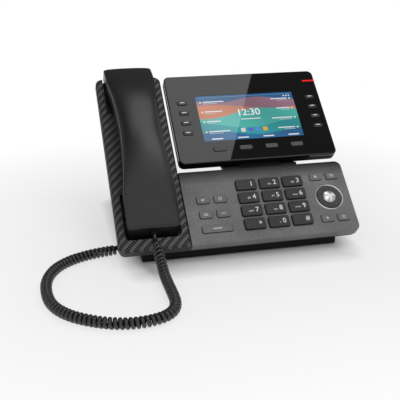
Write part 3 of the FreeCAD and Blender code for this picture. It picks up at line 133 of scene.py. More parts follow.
SLAB = SlabFrame()


def mesh_object(
    name: str,
    points: np.ndarray,
    quads: np.ndarray,
    caps: Sequence[Sequence[int]] = (),
    smooth: bool = True,
) -> bpy.types.Object:
    """Make a mesh object at the origin from whole arrays.

    Args:
        name: name of the piece.
        points: array of (..., 3) points in metres.
        quads: (m, 4) array of corner indices.
        caps: further faces with any number of corners.
        smooth: whether faces are shaded smooth.

    Returns:
        The linked object.
    """
    mesh = bpy.data.meshes.new(name)
    faces = [tuple(row) for row in quads.tolist()] + [tuple(cap) for cap in caps]
    mesh.from_pydata(points.reshape(-1, 3).tolist(), [], faces)
    mesh.polygons.foreach_set("use_smooth", np.full(len(mesh.polygons), smooth))
    mesh.validate()
    mesh.update()
    piece = bpy.data.objects.new(name, mesh)
    bpy.context.scene.collection.objects.link(piece)
    return piece


def grid_quads(rows: int, columns: int, wrap: bool) -> np.ndarray:
    """Quads of a grid of rows by columns, whose columns may wrap round.

    Args:
        rows: number of rows of points.
        columns: number of points in each row.
        wrap: whether the last column joins the first.

    Returns:
        (m, 4) array of indices, whose faces turn from column to row.
    """
    across = columns if wrap else columns - 1
    row, column = np.meshgrid(np.arange(rows - 1), np.arange(across), indexing="ij")
    following = (column + 1) % columns
    first = row * columns + column
    second = row * columns + following
    return np.stack([first, second, second + columns, first + columns], axis=-1).reshape(-1, 4)


def loft_object(name: str, rings: np.ndarray, smooth: bool = True) -> bpy.types.Object:
    """Skin a row of closed rings and cap both ends.

    Args:
        name: name of the piece.
        rings: (rows, columns, 3) array of points in metres.
        smooth: whether faces are shaded smooth.

    Returns:
        The linked object.
    """
    rows, columns, _ = rings.shape
    last = (rows - 1) * columns
    caps = [range(columns)[::-1], range(last, last + columns)]
    return mesh_object(name, rings, grid_quads(rows, columns, wrap=True), caps, smooth)


def flat_object(name: str, parts: Sequence[Flat]) -> bpy.types.Object:
    """Join flat parts, given in slab millimetres, into one piece.

    Args:
        name: name of the piece.
        parts: points and faces of each part.

    Returns:
        The linked object.
    """
    starts = np.cumsum([0] + [len(points) for points, _ in parts]).tolist()
    faces = [[index + start for index in face] for (_, part), start in zip(parts, starts) for face in part]
    points = SLAB.to_row(np.concatenate([points for points, _ in parts]))
    return mesh_object(name, points, np.empty((0, 4), int), faces, smooth=False)


def curve_shape(curve: bpy.types.Curve) -> Flat:
    """Read the points and faces that a curve or a text gives, and remove it.

    Args:
        curve: curve or text data.

    Returns:
        (n, 3) array of points, and the faces.
    """
    carrier = bpy.data.objects.new(curve.name, curve)
    bpy.context.scene.collection.objects.link(carrier)
    bpy.context.view_layer.update()
    mesh = bpy.data.meshes.new_from_object(carrier)
    points = np.empty(len(mesh.vertices) * 3)
    mesh.vertices.foreach_get("co", points)
    faces = [list(face.vertices) for face in mesh.polygons]
    bpy.data.objects.remove(carrier)
    bpy.data.curves.remove(curve)
    bpy.data.meshes.remove(mesh)
    return points.reshape(-1, 3), faces


def run_along(line: np.ndarray) -> np.ndarray:
    """Distance along a line to each of its points: the running sum of its stretches."""
    return np.concatenate([[0.0], np.cumsum(np.linalg.norm(np.diff(line, axis=0), axis=1))])


def spaced(line: np.ndarray, count: int) -> np.ndarray:
    """Place points evenly on a line.

    Args:
        line: (n, 3) points.
        count: number of new points.

    Returns:
        (count, 3) points, from the line's start to its end.
    """
    far = run_along(line)
    even = np.linspace(0.0, far[-1], count)
    return np.stack([np.interp(even, far, line[:, axis]) for axis in range(3)], axis=1)


def smooth_step(share: np.ndarray) -> np.ndarray:
    """Smooth rise from 0 to 1: 3 t^2 - 2 t^3, with t clipped to that range."""
    clipped = np.clip(share, 0.0, 1.0)
    return clipped * clipped * (3 - 2 * clipped)


def dress(piece: bpy.types.Object, material: bpy.types.Material) -> None:
    """Give a piece one material in place of those it has."""
    piece.data.materials.clear()
    piece.data.materials.append(material)


class NodeGraph:
    """Small helper that adds and joins shader nodes in one tree."""

    def __init__(self, tree: bpy.types.NodeTree) -> None:
        """Keep the tree that nodes are added to."""
        self.tree = tree

    def node(self, kind: str, **settings: object) -> bpy.types.Node:
        """Add a node and set its properties by name.

        Args:
            kind: type of the node.
            settings: properties and their values.

        Returns:
            The node.
        """
        made = self.tree.nodes.new(kind)
        for name, value in settings.items():
            setattr(made, name, value)
        return made

    def feed(self, target: bpy.types.NodeSocket, source: object) -> None:
        """Link a socket to the target, or set the target's own value.

        Args:
            target: input socket.
            source: output socket, or a value.
        """
        if isinstance(source, bpy.types.NodeSocket):
            self.tree.links.new(source, target)
        else:
            target.default_value = source

    def math(self, operation: str, *values: object, clamp: bool = False) -> bpy.types.NodeSocket:
        """Add a Math node.

        Args:
            operation: name of the operation.
            values: sockets or numbers that it works on.
            clamp: whether the result stays between 0 and 1.

        Returns:
            Its result.
        """
        made = self.node("ShaderNodeMath", operation=operation, use_clamp=clamp)
        for socket, value in zip(made.inputs, values):
            self.feed(socket, value)
        return made.outputs[0]

    def noise(
        self, vector: bpy.types.NodeSocket, scale: object, detail: float = 2.0, rough: float = 0.5
    ) -> bpy.types.NodeSocket:
        """Add a noise.

        Args:
            vector: place that it is read at.
            scale: socket or number.
            detail: number of finer layers.
            rough: weight of the finer layers.

        Returns:
            Its value.
        """
        made = self.node("ShaderNodeTexNoise")
        for name, value in (("Vector", vector), ("Scale", scale), ("Detail", detail), ("Roughness", rough)):
            self.feed(made.inputs[name], value)
        return made.outputs["Fac"]

    def mix(
        self, factor: object, first: object, second: object, blend: str = "MIX"
    ) -> bpy.types.NodeSocket:
        """Mix two colours.

        Args:
            factor: share of the second colour.
            first: colour at a factor of 0.
            second: colour at a factor of 1.
            blend: name of the way they are mixed.

        Returns:
            The mixed colour.
        """
        made = self.node("ShaderNodeMix", data_type="RGBA", blend_type=blend)
        self.feed(made.inputs["Factor"], factor)
        self.feed(made.inputs[6], first)
        self.feed(made.inputs[7], second)
        return made.outputs[2]

    def ramp(
        self, factor: object, low: float, high: float, to_low: float = 0.0, to_high: float = 1.0
    ) -> bpy.types.NodeSocket:
        """Map a value from one range to another, clamped.

        Args:
            factor: the value.
            low: start of its range.
            high: end of its range.
            to_low: result at the start.
            to_high: result at the end.

        Returns:
            The mapped value.
        """
        made = self.node("ShaderNodeMapRange")
        self.feed(made.inputs["Value"], factor)
        for name, value in zip(("From Min", "From Max", "To Min", "To Max"), (low, high, to_low, to_high)):
            made.inputs[name].default_value = value
        return made.outputs["Result"]

    def axes(self, vector: bpy.types.NodeSocket) -> bpy.types.Node:
        """Split a vector.

        Args:
            vector: the vector.

        Returns:
            Node with the outputs X, Y and Z.
        """
        made = self.node("ShaderNodeSeparateXYZ")
        self.feed(made.inputs[0], vector)
        return made

    def group(self, tree: bpy.types.NodeTree, vector: bpy.types.NodeSocket) -> bpy.types.Node:
        """Add a shared group.

        Args:
            tree: the group.
            vector: place that it is read at.

        Returns:
            The group's node.
        """
        made = self.node("ShaderNodeGroup", node_tree=tree)
        self.feed(made.inputs["Vector"], vector)
        return made

    def bump(self, height: bpy.types.NodeSocket, strength: float, depth: float) -> bpy.types.NodeSocket:
        """Turn a height into a normal.

        Args:
            height: height from 0 to 1.
            strength: share of the effect.
            depth: height of 1, in metres.

        Returns:
            The normal.
        """
        made = self.node("ShaderNodeBump")
        for name, value in (("Strength", strength), ("Distance", depth), ("Height", height)):
            self.feed(made.inputs[name], value)
        return made.outputs["Normal"]

    def slab_coordinates(self) -> bpy.types.NodeSocket:
        """Turn object coordinates into the slab's frame.

        Returns:
            The vector in metres.
        """
        place, turn = SLAB.mapping()
        source = self.node("ShaderNodeTexCoord")
        made = self.node("ShaderNodeMapping")
        made.inputs["Location"].default_value = place
        made.inputs["Rotation"].default_value = turn
        self.feed(made.inputs["Vector"], source.outputs["Object"])
        return made.outputs["Vector"]


class SharedGroups:
    """Node groups that several finishes share, each built once."""

    @staticmethod
    def start(
        name: str, inputs: dict[str, float], outputs: Iterable[str]
    ) -> tuple[NodeGraph, bpy.types.Node, bpy.types.Node]:
        """Make an empty group with a Vector input, value inputs and value outputs.

        Args:
            name: name of the group.
            inputs: value inputs and their defaults.
            outputs: names of the value outputs.

        Returns:
            The graph and its input and output nodes.
        """
        tree = bpy.data.node_groups.new(name, "ShaderNodeTree")
        tree.interface.new_socket("Vector", in_out="INPUT", socket_type="NodeSocketVector")
        for label, value in inputs.items():
            made = tree.interface.new_socket(label, in_out="INPUT", socket_type="NodeSocketFloat")
            made.default_value = value
        for label in outputs:
            tree.interface.new_socket(label, in_out="OUTPUT", socket_type="NodeSocketFloat")
        graph = NodeGraph(tree)
        return graph, graph.node("NodeGroupInput"), graph.node("NodeGroupOutput")

    @cached_property
    def moulded_grain(self) -> bpy.types.NodeTree:
        """Build the grain of moulded plastic: fine pits, cloudy tone and handling gloss.

        Returns:
            The group.
        """
        pit_share, cloud_share, gloss_span = 0.65, 0.35, (0.35, 0.7)
        graph, given, made = self.start(
            "moulded_grain", {"Scale": 1800.0, "Cloud Scale": 24.0}, ("Height", "Tone", "Gloss")
        )
        vector = given.outputs["Vector"]
        pits = graph.noise(vector, given.outputs["Scale"], detail=3.0)
        cloud = graph.noise(vector, given.outputs["Cloud Scale"], detail=4.0, rough=0.6)
        shares = graph.math("MULTIPLY", pits, pit_share), graph.math("MULTIPLY", cloud, cloud_share)
        graph.feed(made.inputs["Height"], pits)
        graph.feed(made.inputs["Tone"], graph.math("ADD", *shares))
        graph.feed(made.inputs["Gloss"], graph.ramp(cloud, *gloss_span))
        return graph.tree

    @cached_property
    def twill(self) -> bpy.types.NodeTree:
        """Build the twill relief: rising bands of short grooves that cross the band, with plain bands too.

        A band's phase is x / across - s / rise and a groove's phase x / step + s / step. The height out of
        the slab is added to x, so that the relief runs on over an edge.

        Returns:
            The group.
        """
        band_span, groove_span, band_shade = (-0.45, 0.1), (-0.75, -0.15), 0.12
        graph, given, made = self.start(
            "twill", {"Across": 0.0092, "Rise": 0.0088, "Step": 0.0035}, ("Height", "Mask")
        )
        split = graph.axes(given.outputs["Vector"])
        x = graph.math("ADD", split.outputs["X"], split.outputs["Z"])
        s = split.outputs["Y"]
        columns = graph.math("DIVIDE", x, given.outputs["Across"])
        turns = graph.math("SUBTRACT", columns, graph.math("DIVIDE", s, given.outputs["Rise"]))
        wave = graph.math("SINE", graph.math("MULTIPLY", turns, TURN))
        steps = graph.math("DIVIDE", graph.math("ADD", x, s), given.outputs["Step"])
        ripple = graph.math("SINE", graph.math("MULTIPLY", steps, TURN))
        band = graph.ramp(wave, *band_span)
        groove = graph.ramp(ripple, *groove_span)
        height = graph.math("SUBTRACT", 1.0, graph.math("MULTIPLY", band, groove))
        # Mask: height less a share in grooved bands; finishes paint shade into grooves and grooved bands
        # from it.
        darker = graph.math("MULTIPLY", band, band_shade)
        graph.feed(made.inputs["Height"], height)
        graph.feed(made.inputs["Mask"], graph.math("SUBTRACT", height, darker, clamp=True))
        return graph.tree

    @cached_property
    def brushed(self) -> bpy.types.NodeTree:
        """Build circular brushing: a tone that changes with the radius and, slowly, with the angle; the
        change with the angle is a painted sheen.

        Returns:
            The group.
        """
        sheen_fan_count, sheen_fan_share, ring_share, middle = 4.0, 0.38, 0.12, 0.5
        graph, given, made = self.start("brushed", {"Lines": 9000.0}, ("Tone", "Height"))
        split = graph.axes(given.outputs["Vector"])
        x, y = split.outputs["X"], split.outputs["Y"]
        squares = graph.math("MULTIPLY", x, x), graph.math("MULTIPLY", y, y)
        radius = graph.math("SQRT", graph.math("ADD", *squares))
        angle = graph.math("ARCTAN2", y, x)
        rings = graph.math("SINE", graph.math("MULTIPLY", radius, given.outputs["Lines"]))
        # Painted sheen: the tone rises and falls with the angle, as a lamp's highlight does on circular
        # brushing.
        sheen_fans = graph.math("SINE", graph.math("MULTIPLY", angle, sheen_fan_count))
        shares = graph.math("MULTIPLY", sheen_fans, sheen_fan_share), graph.math("MULTIPLY", rings, ring_share)
        graph.feed(made.inputs["Tone"], graph.math("ADD", graph.math("ADD", *shares), middle, clamp=True))
        graph.feed(made.inputs["Height"], rings)
        return graph.tree


GROUPS = SharedGroups()


def new_material(name: str) -> tuple[bpy.types.Material, NodeGraph, bpy.types.Node]:
    """Material with a Principled shader.

    Args:
        name: name of the material.

    Returns:
        The material, a graph on its tree, and its shader node.
    """
    material = bpy.data.materials.new(name)
    material.use_nodes = True
    graph = NodeGraph(material.node_tree)
    shader = next(node for node in material.node_tree.nodes if node.type == "BSDF_PRINCIPLED")
    return material, graph, shader


def shade(colour: Colour, times: float = 1.0) -> tuple[float, float, float, float]:
    """Colour with an alpha of one, made lighter or darker."""
    return (colour[0] * times, colour[1] * times, colour[2] * times, 1.0)


@dataclass(frozen=True)
class PlasticFinish:
    """Moulded plastic with grain, a cloudy tone and a gloss that varies a little."""

    name: str
    colour: Colour
    roughness: float = 0.5
    grain: float = 1800.0
    depth: float = 0.00004
    strength: float = 0.25
    spread: float = 0.25
    specular: float = 0.5
    # Span and share of a painted shade: between the span's two places the colour darkens to the share.
    painted_shade_span: Span = (0.0, 0.0)
    painted_shade_share: float = 1.0
    along: Along = Along.SLAB

    def material(self) -> bpy.types.Material:
        """Build the material: tone moves the colour, gloss the roughness and pits the normal.

        From the first to the second place of its span, in millimetres, the colour drops to the given share:
        a painted shade on key sides and on shaded rear or inner parts.

        Returns:
            The material.
        """
        material, graph, shader = new_material(self.name)
        place = graph.slab_coordinates()
        group = graph.group(GROUPS.moulded_grain, place)
        group.inputs["Scale"].default_value = self.grain
        dark, light = shade(self.colour, 1 - self.spread), shade(self.colour, 1 + self.spread)
        tone = graph.mix(graph.ramp(group.outputs["Tone"], *NOISE_SPAN), dark, light)
        # Painted shade: the colour darkens towards the shaded sides or edges.
        if self.painted_shade_share < 1.0:
            reached = graph.axes(place).outputs[self.along.value]
            share = graph.ramp(reached, self.painted_shade_span[0] * MM, self.painted_shade_span[1] * MM)
            tone = graph.mix(share, tone, shade(self.colour, self.painted_shade_share))
        graph.feed(shader.inputs["Base Color"], tone)
        rough, smooth = self.roughness + GLOSS_SWING, self.roughness - GLOSS_SWING
        graph.feed(shader.inputs["Roughness"], graph.ramp(group.outputs["Gloss"], 0.0, 1.0, rough, smooth))
        graph.feed(shader.inputs["Normal"], graph.bump(group.outputs["Height"], self.strength, self.depth))
        shader.inputs["Specular IOR Level"].default_value = self.specular
        return material


@dataclass(frozen=True)
class TwillFinish:
    """Black plastic moulded with a twill relief."""

    name: str
    # Colours in the grooves and on the ridges of one plastic: the dark grooves are painted shade.
    low: Colour
    high: Colour
    roughness: float = 0.42
    groove_roughness: float = 0.7
    strength: float = 0.9
    depth: float = 0.0006
    edge: Span = (-3.0, -2.0)
    plain: float = 0.45

    def material(self) -> bpy.types.Material:
        """Build the material: the relief gives height and, with it, painted shade: dark grooves and a
        lighter top.

        The relief ends between the two heights in edge, in millimetres out of the slab. Walls are plain.

        Returns:
            The material.
        """
        material, graph, shader = new_material(self.name)
        place = graph.slab_coordinates()
        group = graph.group(GROUPS.twill, place)
        out = graph.axes(place).outputs[Along.OUT.value]
        relief = graph.ramp(out, self.edge[0] * MM, self.edge[1] * MM)
        # Painted shade: grooves darker than ridges, following the relief's mask.
        painted_relief_shade = graph.math("MULTIPLY", graph.math("SUBTRACT", group.outputs["Mask"], self.plain), relief)
        mask = graph.math("ADD", painted_relief_shade, self.plain)
        graph.feed(shader.inputs["Base Color"], graph.mix(mask, shade(self.low), shade(self.high)))
        gloss = graph.ramp(mask, 0.0, 1.0, self.groove_roughness, self.roughness)
        graph.feed(shader.inputs["Roughness"], gloss)
        sunk = graph.math("MULTIPLY", graph.math("SUBTRACT", 1.0, group.outputs["Height"]), relief)
        normal = graph.bump(graph.math("SUBTRACT", 1.0, sunk), self.strength, self.depth)
        graph.feed(shader.inputs["Normal"], normal)
        return material


@dataclass(frozen=True)
class GlossFinish:
    """Polished piano-black plastic with faint polishing haze."""

    name: str
    colour: Colour
    roughness: float = 0.035
    haze: float = 300.0
    spread: float = 0.15

    def material(self) -> bpy.types.Material:
        """Build the material: haze moves the roughness up to twice its value.

        Returns:
            The material.
        """
        material, graph, shader = new_material(self.name)
        group = graph.group(GROUPS.moulded_grain, graph.slab_coordinates())
        group.inputs["Scale"].default_value = self.haze
        dark, light = shade(self.colour, 1 - self.spread), shade(self.colour, 1 + self.spread)
        graph.feed(shader.inputs["Base Color"], graph.mix(group.outputs["Tone"], dark, light))
        gloss = graph.ramp(group.outputs["Gloss"], 0.0, 1.0, self.roughness, self.roughness * 2)
        graph.feed(shader.inputs["Roughness"], gloss)
        return material


@dataclass(frozen=True)
class MetalFinish:
    """Bright metal, polished or brushed in circles round a point of the slab."""

    name: str
    colour: Colour
    roughness: float
    centre: Span = (0.0, 0.0)
    brushed: bool = False
    haze: float = 400.0
    haze_shares: Span = (0.7, 1.4)
    tone_shares: Span = (0.45, 1.2)
    swing: float = 0.1
    strength: float = 0.15
    depth: float = 0.00003

    def material(self) -> bpy.types.Material:
        """Build the material: brushing moves colour, roughness and normal, its colour with a painted sheen;
        polish only the roughness.

        Returns:
            The material.
        """
        material, graph, shader = new_material(self.name)
        shader.inputs["Metallic"].default_value = 1.0
        place = graph.slab_coordinates()
        if not self.brushed:
            smooth, rough = (self.roughness * share for share in self.haze_shares)
            graph.feed(shader.inputs["Base Color"], shade(self.colour))
            gloss = graph.ramp(graph.noise(place, self.haze), *NOISE_SPAN, smooth, rough)
            graph.feed(shader.inputs["Roughness"], gloss)
            return material
        shift = graph.node("ShaderNodeMapping")
        shift.inputs["Location"].default_value = (-self.centre[0] * MM, -self.centre[1] * MM, 0.0)
        graph.feed(shift.inputs["Vector"], place)
        group = graph.group(GROUPS.brushed, shift.outputs["Vector"])
        # Brushed tone: ring grain and a painted sheen in fans round the centre.
        dark, light = (shade(self.colour, share) for share in self.tone_shares)
        graph.feed(shader.inputs["Base Color"], graph.mix(group.outputs["Tone"], dark, light))
        rough, smooth = self.roughness + self.swing, self.roughness - self.swing
        graph.feed(shader.inputs["Roughness"], graph.ramp(group.outputs["Tone"], 0.0, 1.0, rough, smooth))
        graph.feed(shader.inputs["Normal"], graph.bump(group.outputs["Height"], self.strength, self.depth))
        return material


@dataclass(frozen=True)
class PrintFinish:
    """Printed or lit sign: a plain colour with a slight unevenness of the ink."""

    name: str
    colour: Colour
    glow: float = 0.0
    roughness: float = 0.5
    ink: float = 1500.0
    thin: float = 0.92

    def material(self) -> bpy.types.Material:
        """Build the material, with a glow of its own where the sign is lit.

        Returns:
            The material.
        """
        material, graph, shader = new_material(self.name)
        ink = graph.ramp(graph.noise(graph.slab_coordinates(), self.ink, detail=3.0), *NOISE_SPAN)
        tone = graph.mix(ink, shade(self.colour, self.thin), shade(self.colour))
        graph.feed(shader.inputs["Base Color"], tone)
        shader.inputs["Roughness"].default_value = self.roughness
        if self.glow > 0:
            graph.feed(shader.inputs["Emission Color"], tone)
            shader.inputs["Emission Strength"].default_value = self.glow
        return material


@dataclass(frozen=True)
class ScreenFinish:
    """Lit picture behind glass: colours come from the mesh attribute named tint."""

    name: str
    glow: float = 0.85
    unlit: Colour = (0.004, 0.004, 0.005)
    roughness: float = 0.015
    cells: float = 2500.0
    cell_span: Span = (0.2, 0.8)
    cell_least: float = 0.94

    def material(self) -> bpy.types.Material:
        """Build the material: black base, the tint as emission, and a glass-smooth front.

        Returns:
            The material.
        """
        material, graph, shader = new_material(self.name)
        tint = graph.node("ShaderNodeAttribute", attribute_name="tint")
        cells = graph.noise(graph.slab_coordinates(), self.cells, detail=0.0)
        soft = graph.ramp(cells, *self.cell_span, self.cell_least)
        lit = graph.mix(1.0, tint.outputs["Color"], soft, blend="MULTIPLY")
        shader.inputs["Base Color"].default_value = shade(self.unlit)
        shader.inputs["Roughness"].default_value = self.roughness
        graph.feed(shader.inputs["Emission Color"], lit)
        shader.inputs["Emission Strength"].default_value = self.glow
        return material


@dataclass
class CurlyCord:
    """Curled handset cord: one tube whose helix runs round a smooth route on the desk.

    Sizes are in millimetres. The route is measured on the desk, and both exits in the slab's frame.
    """

    wire: float = 3.8
    coil: float = 3.4
    pitch: float = 4.25
    grip: float = 2.4
    lead: float = 3.0
    drop: float = 9.0
    ramp: float = 16.0
    tail: float = 96.0
    sides: int = 10
    route_step: float = 0.25
    ring_step: float = 1.15
    spline_order: int = 3
    spline_steps: int = 40
    route: tuple[Place, ...] = (
        (-87.4, -0.6, 24.4), (-87.0, -9.0, 21.0), (-86.5, -20.0, 12.0), (-86.2, -36.0, 6.2),
        (-85.8, -54.0, 5.5), (-85.6, -70.0, 5.5), (-86.2, -84.5, 5.5), (-90.0, -96.5, 5.5),
        (-98.5, -105.0, 5.5), (-110.0, -109.0, 5.5), (-123.0, -110.5, 5.5), (-137.0, -108.5, 5.5),
        (-150.0, -103.5, 5.5), (-163.0, -95.8, 5.5), (-174.5, -86.5, 5.5), (-184.5, -73.5, 5.5),
        (-190.3, -58.0, 5.5), (-192.2, -40.0, 5.5), (-191.8, -22.0, 5.5), (-187.6, -5.0, 5.5),
        (-179.5, 10.0, 5.5), (-167.0, 21.5, 5.5), (-151.0, 29.5, 5.5), (-136.0, 33.6, 5.5),
        (-122.0, 36.0, 5.5), (-112.0, 37.5, 5.0), (-108.5, 46.0, 3.4), (-108.5, 60.0, 2.4),
        (-108.5, 76.0, 2.4), (-108.5, 88.0, 8.0), (-108.5, 84.0, 21.5),
    )
    handset_exit: Place = (-87.5, 14.7, 2.6)
    base_exit: Place = (-108.5, 73.0, -18.0)
    stays: Place = (-3.4, 0.0, -2.3)

    def controls(self) -> np.ndarray:
        """Control points of the route, with straight leads at both plugs.

        Returns:
            (n, 3) array in row metres.
        """
        forward = np.outer([0.0, -self.grip, -self.grip - self.lead], [0.0, 1.0, 0.0])
        down = np.outer([-self.grip - self.drop, -self.grip, 0.0], [0.0, 0.0, 1.0])
        start = SLAB.to_row(np.array(self.handset_exit) + forward)
        end = SLAB.to_row(np.array(self.base_exit) + down)
        return np.concatenate([start, SLAB.desk_to_row(np.array(self.route)), end])

    def centreline(self) -> np.ndarray:
        """Points of the route's NURBS spline, evenly spaced.

        Returns:
            (n, 3) array in row metres.
        """
        points = self.controls()
        curve = bpy.data.curves.new("cord_route", "CURVE")
        curve.dimensions = "3D"
        curve.resolution_u = self.spline_steps
        spline = curve.splines.new("NURBS")
        spline.points.add(len(points) - 1)
        spline.points.foreach_set("co", np.column_stack([points, np.ones(len(points))]).ravel())
        spline.order_u = self.spline_order
        spline.use_endpoint_u = True
        line, _ = curve_shape(curve)
        return spaced(line, int(run_along(line)[-1] / (self.route_step * MM)) + 1)

    def frames(self, line: np.ndarray, first: np.ndarray) -> tuple[np.ndarray, np.ndarray]:
        """Directions across a line, carried along it without twist.

        Args:
            line: (n, 3) points.
            first: direction that the first cross direction is taken from.

        Returns:
            Two arrays of unit directions, at right angles to the line and to each other.
        """
        along = np.gradient(line, axis=0)
        along /= np.linalg.norm(along, axis=1, keepdims=True)
        across = np.empty_like(line)
        carried = first
        for index, heading in enumerate(along):
            carried = carried - heading * (carried @ heading)
            carried = carried / np.linalg.norm(carried)
            across[index] = carried
        return across, np.cross(along, across)

    def helix(self) -> np.ndarray:
        """Helix round the route: radius and turn rate both fade in and out by a smooth step.

        Returns:
            (n, 3) points of the wire's middle line.
        """
        line = self.centreline()
        across, other = self.frames(line, ROW_X)
        far = np.arange(len(line)) * np.linalg.norm(line[1] - line[0]) / MM
        grow = smooth_step((far - self.lead - self.grip) / self.ramp)
        fade = smooth_step((far[-1] - self.tail - far) / self.ramp)
        amount = grow * fade
        turn = np.cumsum(amount) * (far[1] - far[0]) * TURN / self.pitch
        reach = (self.coil * MM * amount)[:, None]
        return line + (across * np.cos(turn)[:, None] + other * np.sin(turn)[:, None]) * reach

    def build(self, material: bpy.types.Material) -> None:
        """Sweep a circle along the helix: point = centre + across r cos a + other r sin a, ends capped.

        Args:
            material: finish of the wire.
        """
        fine = self.helix()
        length = float(run_along(fine)[-1])
        line = spaced(fine, int(length / (self.ring_step * MM)))
        across, other = self.frames(line, ROW_X)
        angle = np.arange(self.sides) * TURN / self.sides
        cosine, sine = np.cos(angle)[None, :, None], np.sin(angle)[None, :, None]
        radius = self.wire / 2 * MM
        rings = line[:, None, :] + radius * (across[:, None, :] * cosine + other[:, None, :] * sine)
        piece = loft_object("curly_cord_wire", rings)
        dress(piece, material)
        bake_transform(piece)
        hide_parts("curly_cord")
        LOG.info("curly cord: wire %.3f m, route end %s", length, np.round(line[-1], 4))


@dataclass
class HandsetBack:
    """Outer shell of the handset: a crowned loft from the mouth end over the arch to the ear end."""

    middle: float = -87.5
    half: float = 25.5
    waist: float = 20.8
    waist_middle: float = 121.6
    waist_radius: float = 464.0
    waist_blend: float = 60.0
    crown: Span = (119.6, 33.0)
    mouth_top: Span = (19.2, 10.0)
    ear_top: Span = (215.0, 7.0)
    parting_crown: float = 24.0
    parting_mouth: float = 7.2
    parting_ear: float = 0.8
    parting_gap: float = 0.05
    front: float = 14.7
    back: float = 217.0
    front_edge: float = 3.0
    back_edge: float = 4.6
    mouth_share: float = 0.86
    ear_setback: float = 0.35
    end_height: float = 0.02
    end_draw: float = 0.9
    square: float = 5.5
    dome: float = 0.22
    flat_end: float = 0.8
    flat_points: int = 16
    wall_points: int = 13
    corner_points: int = 10
    edge_rows: int = 12
    rows: int = 120

    @staticmethod
    def arc(s: np.ndarray, crown: Span, end: Span) -> np.ndarray:
        """Height of an arc that is level at the crown: its radius is (run^2 + drop^2) / (2 drop).

        Args:
            s: places up the slab.
            crown: place and height of the crown.
            end: place and height of the end that it passes through.

        Returns:
            Height at each place.
        """
        run, drop = end[0] - crown[0], crown[1] - end[1]
        radius = (run * run + drop * drop) / (2 * drop)
        return crown[1] - (radius - np.sqrt(np.maximum(radius * radius - (s - crown[0]) ** 2, 0.0)))

    def arch(self, s: np.ndarray, crown: Span, start: Span, end: Span) -> np.ndarray:
        """Height of two arcs that are level at the crown and pass through the two ends."""
        return np.where(s < crown[0], self.arc(s, crown, start), self.arc(s, crown, end))

    def width(self, s: np.ndarray) -> np.ndarray:
        """Half width seen from above: straight ends, reverse arcs and one long waist arc.

        Args:
            s: places up the slab.

        Returns:
            Half width at each place.
        """
        reach = self.waist_radius + self.waist_blend
        run = math.sqrt(reach**2 - (reach - self.half + self.waist) ** 2)
        meet = run - self.waist_blend * run / reach
        away = np.abs(s - self.waist_middle)
        waist = self.waist + self.waist_radius - np.sqrt(np.maximum(self.waist_radius**2 - away**2, 0.0))
        inside = np.clip(run - away, 0, None)
        bend = self.half - self.waist_blend + np.sqrt(np.maximum(self.waist_blend**2 - inside**2, 0.0))
        return np.where(away < meet, waist, np.where(away < run, bend, self.half))

    def section(self) -> tuple[np.ndarray, np.ndarray]:
        """Cross-section u = sin(a)^(2/n), v = cos(a)^(2/n) (1 - d u^2), even on flats and in corners.

        Returns:
            Places across and heights over the parting, as shares of the half width and of the height.
        """
        power = self.square / 2
        flat = np.arcsin(np.linspace(0.0, self.flat_end, self.flat_points, endpoint=False) ** power)
        wall = np.arccos(np.linspace(self.flat_end, 0.0, self.wall_points) ** power)
        ends = np.arcsin(self.flat_end**power), np.arccos(self.flat_end**power)
        half = np.concatenate([flat, np.linspace(*ends, self.corner_points, endpoint=False), wall])
        angle = np.concatenate([-half[:0:-1], half])
        across = np.sign(angle) * np.abs(np.sin(angle)) ** (1 / power)
        rise = np.abs(np.cos(angle)) ** (1 / power) * (1 - self.dome * across**2)
        rise[[0, -1]] = 0.0
        return across, rise

    def build(self, material: bpy.types.Material) -> None:
        """Loft the section along the arch: x = w u, h = p + (t - p) v.

        Width w and top t are drawn in at both ends by a quarter round. The parting p runs on.

        Args:
            material: finish of the shell, which rides on the handset.
        """
        turn = np.linspace(0.0, math.pi / 2, self.edge_rows, endpoint=False)
        low = self.front + (self.mouth_top[0] - self.front) * self.mouth_share
        high = self.back - self.ear_setback
        start = low + self.front_edge * (1 - np.cos(turn))
        finish = high - self.back_edge * (1 - np.cos(turn[::-1]))
        body = np.linspace(low + self.front_edge, high - self.back_edge, self.rows)
        s = np.concatenate([start, body, finish])
        drawn = np.concatenate([np.sin(turn), np.ones(self.rows), np.sin(turn[::-1])])
        inset = np.where(s < self.crown[0], self.front_edge, self.back_edge)
        ends = (self.front, self.parting_mouth), (self.back, self.parting_ear)
        parting = self.arch(s, (self.crown[0], self.parting_crown), *ends) + self.parting_gap
        top = self.arch(s, self.crown, self.mouth_top, self.ear_top)
        top = parting + (top - parting) * (self.end_height + (1 - self.end_height) * drawn)
        width = self.width(s) - inset * (1 - drawn) * self.end_draw
        across, rise = self.section()
        x = self.middle + width[:, None] * across[None, :]
        h = parting[:, None] + (top - parting)[:, None] * rise[None, :]
        rings = SLAB.to_row(np.stack([x, np.broadcast_to(s[:, None], x.shape), h], axis=-1))
        piece = loft_object("handset_back", rings)
        dress(piece, material)
        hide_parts("handset_back_shell")
        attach(piece, "handset")
        LOG.info("handset back: %d rings of %d points", *x.shape)


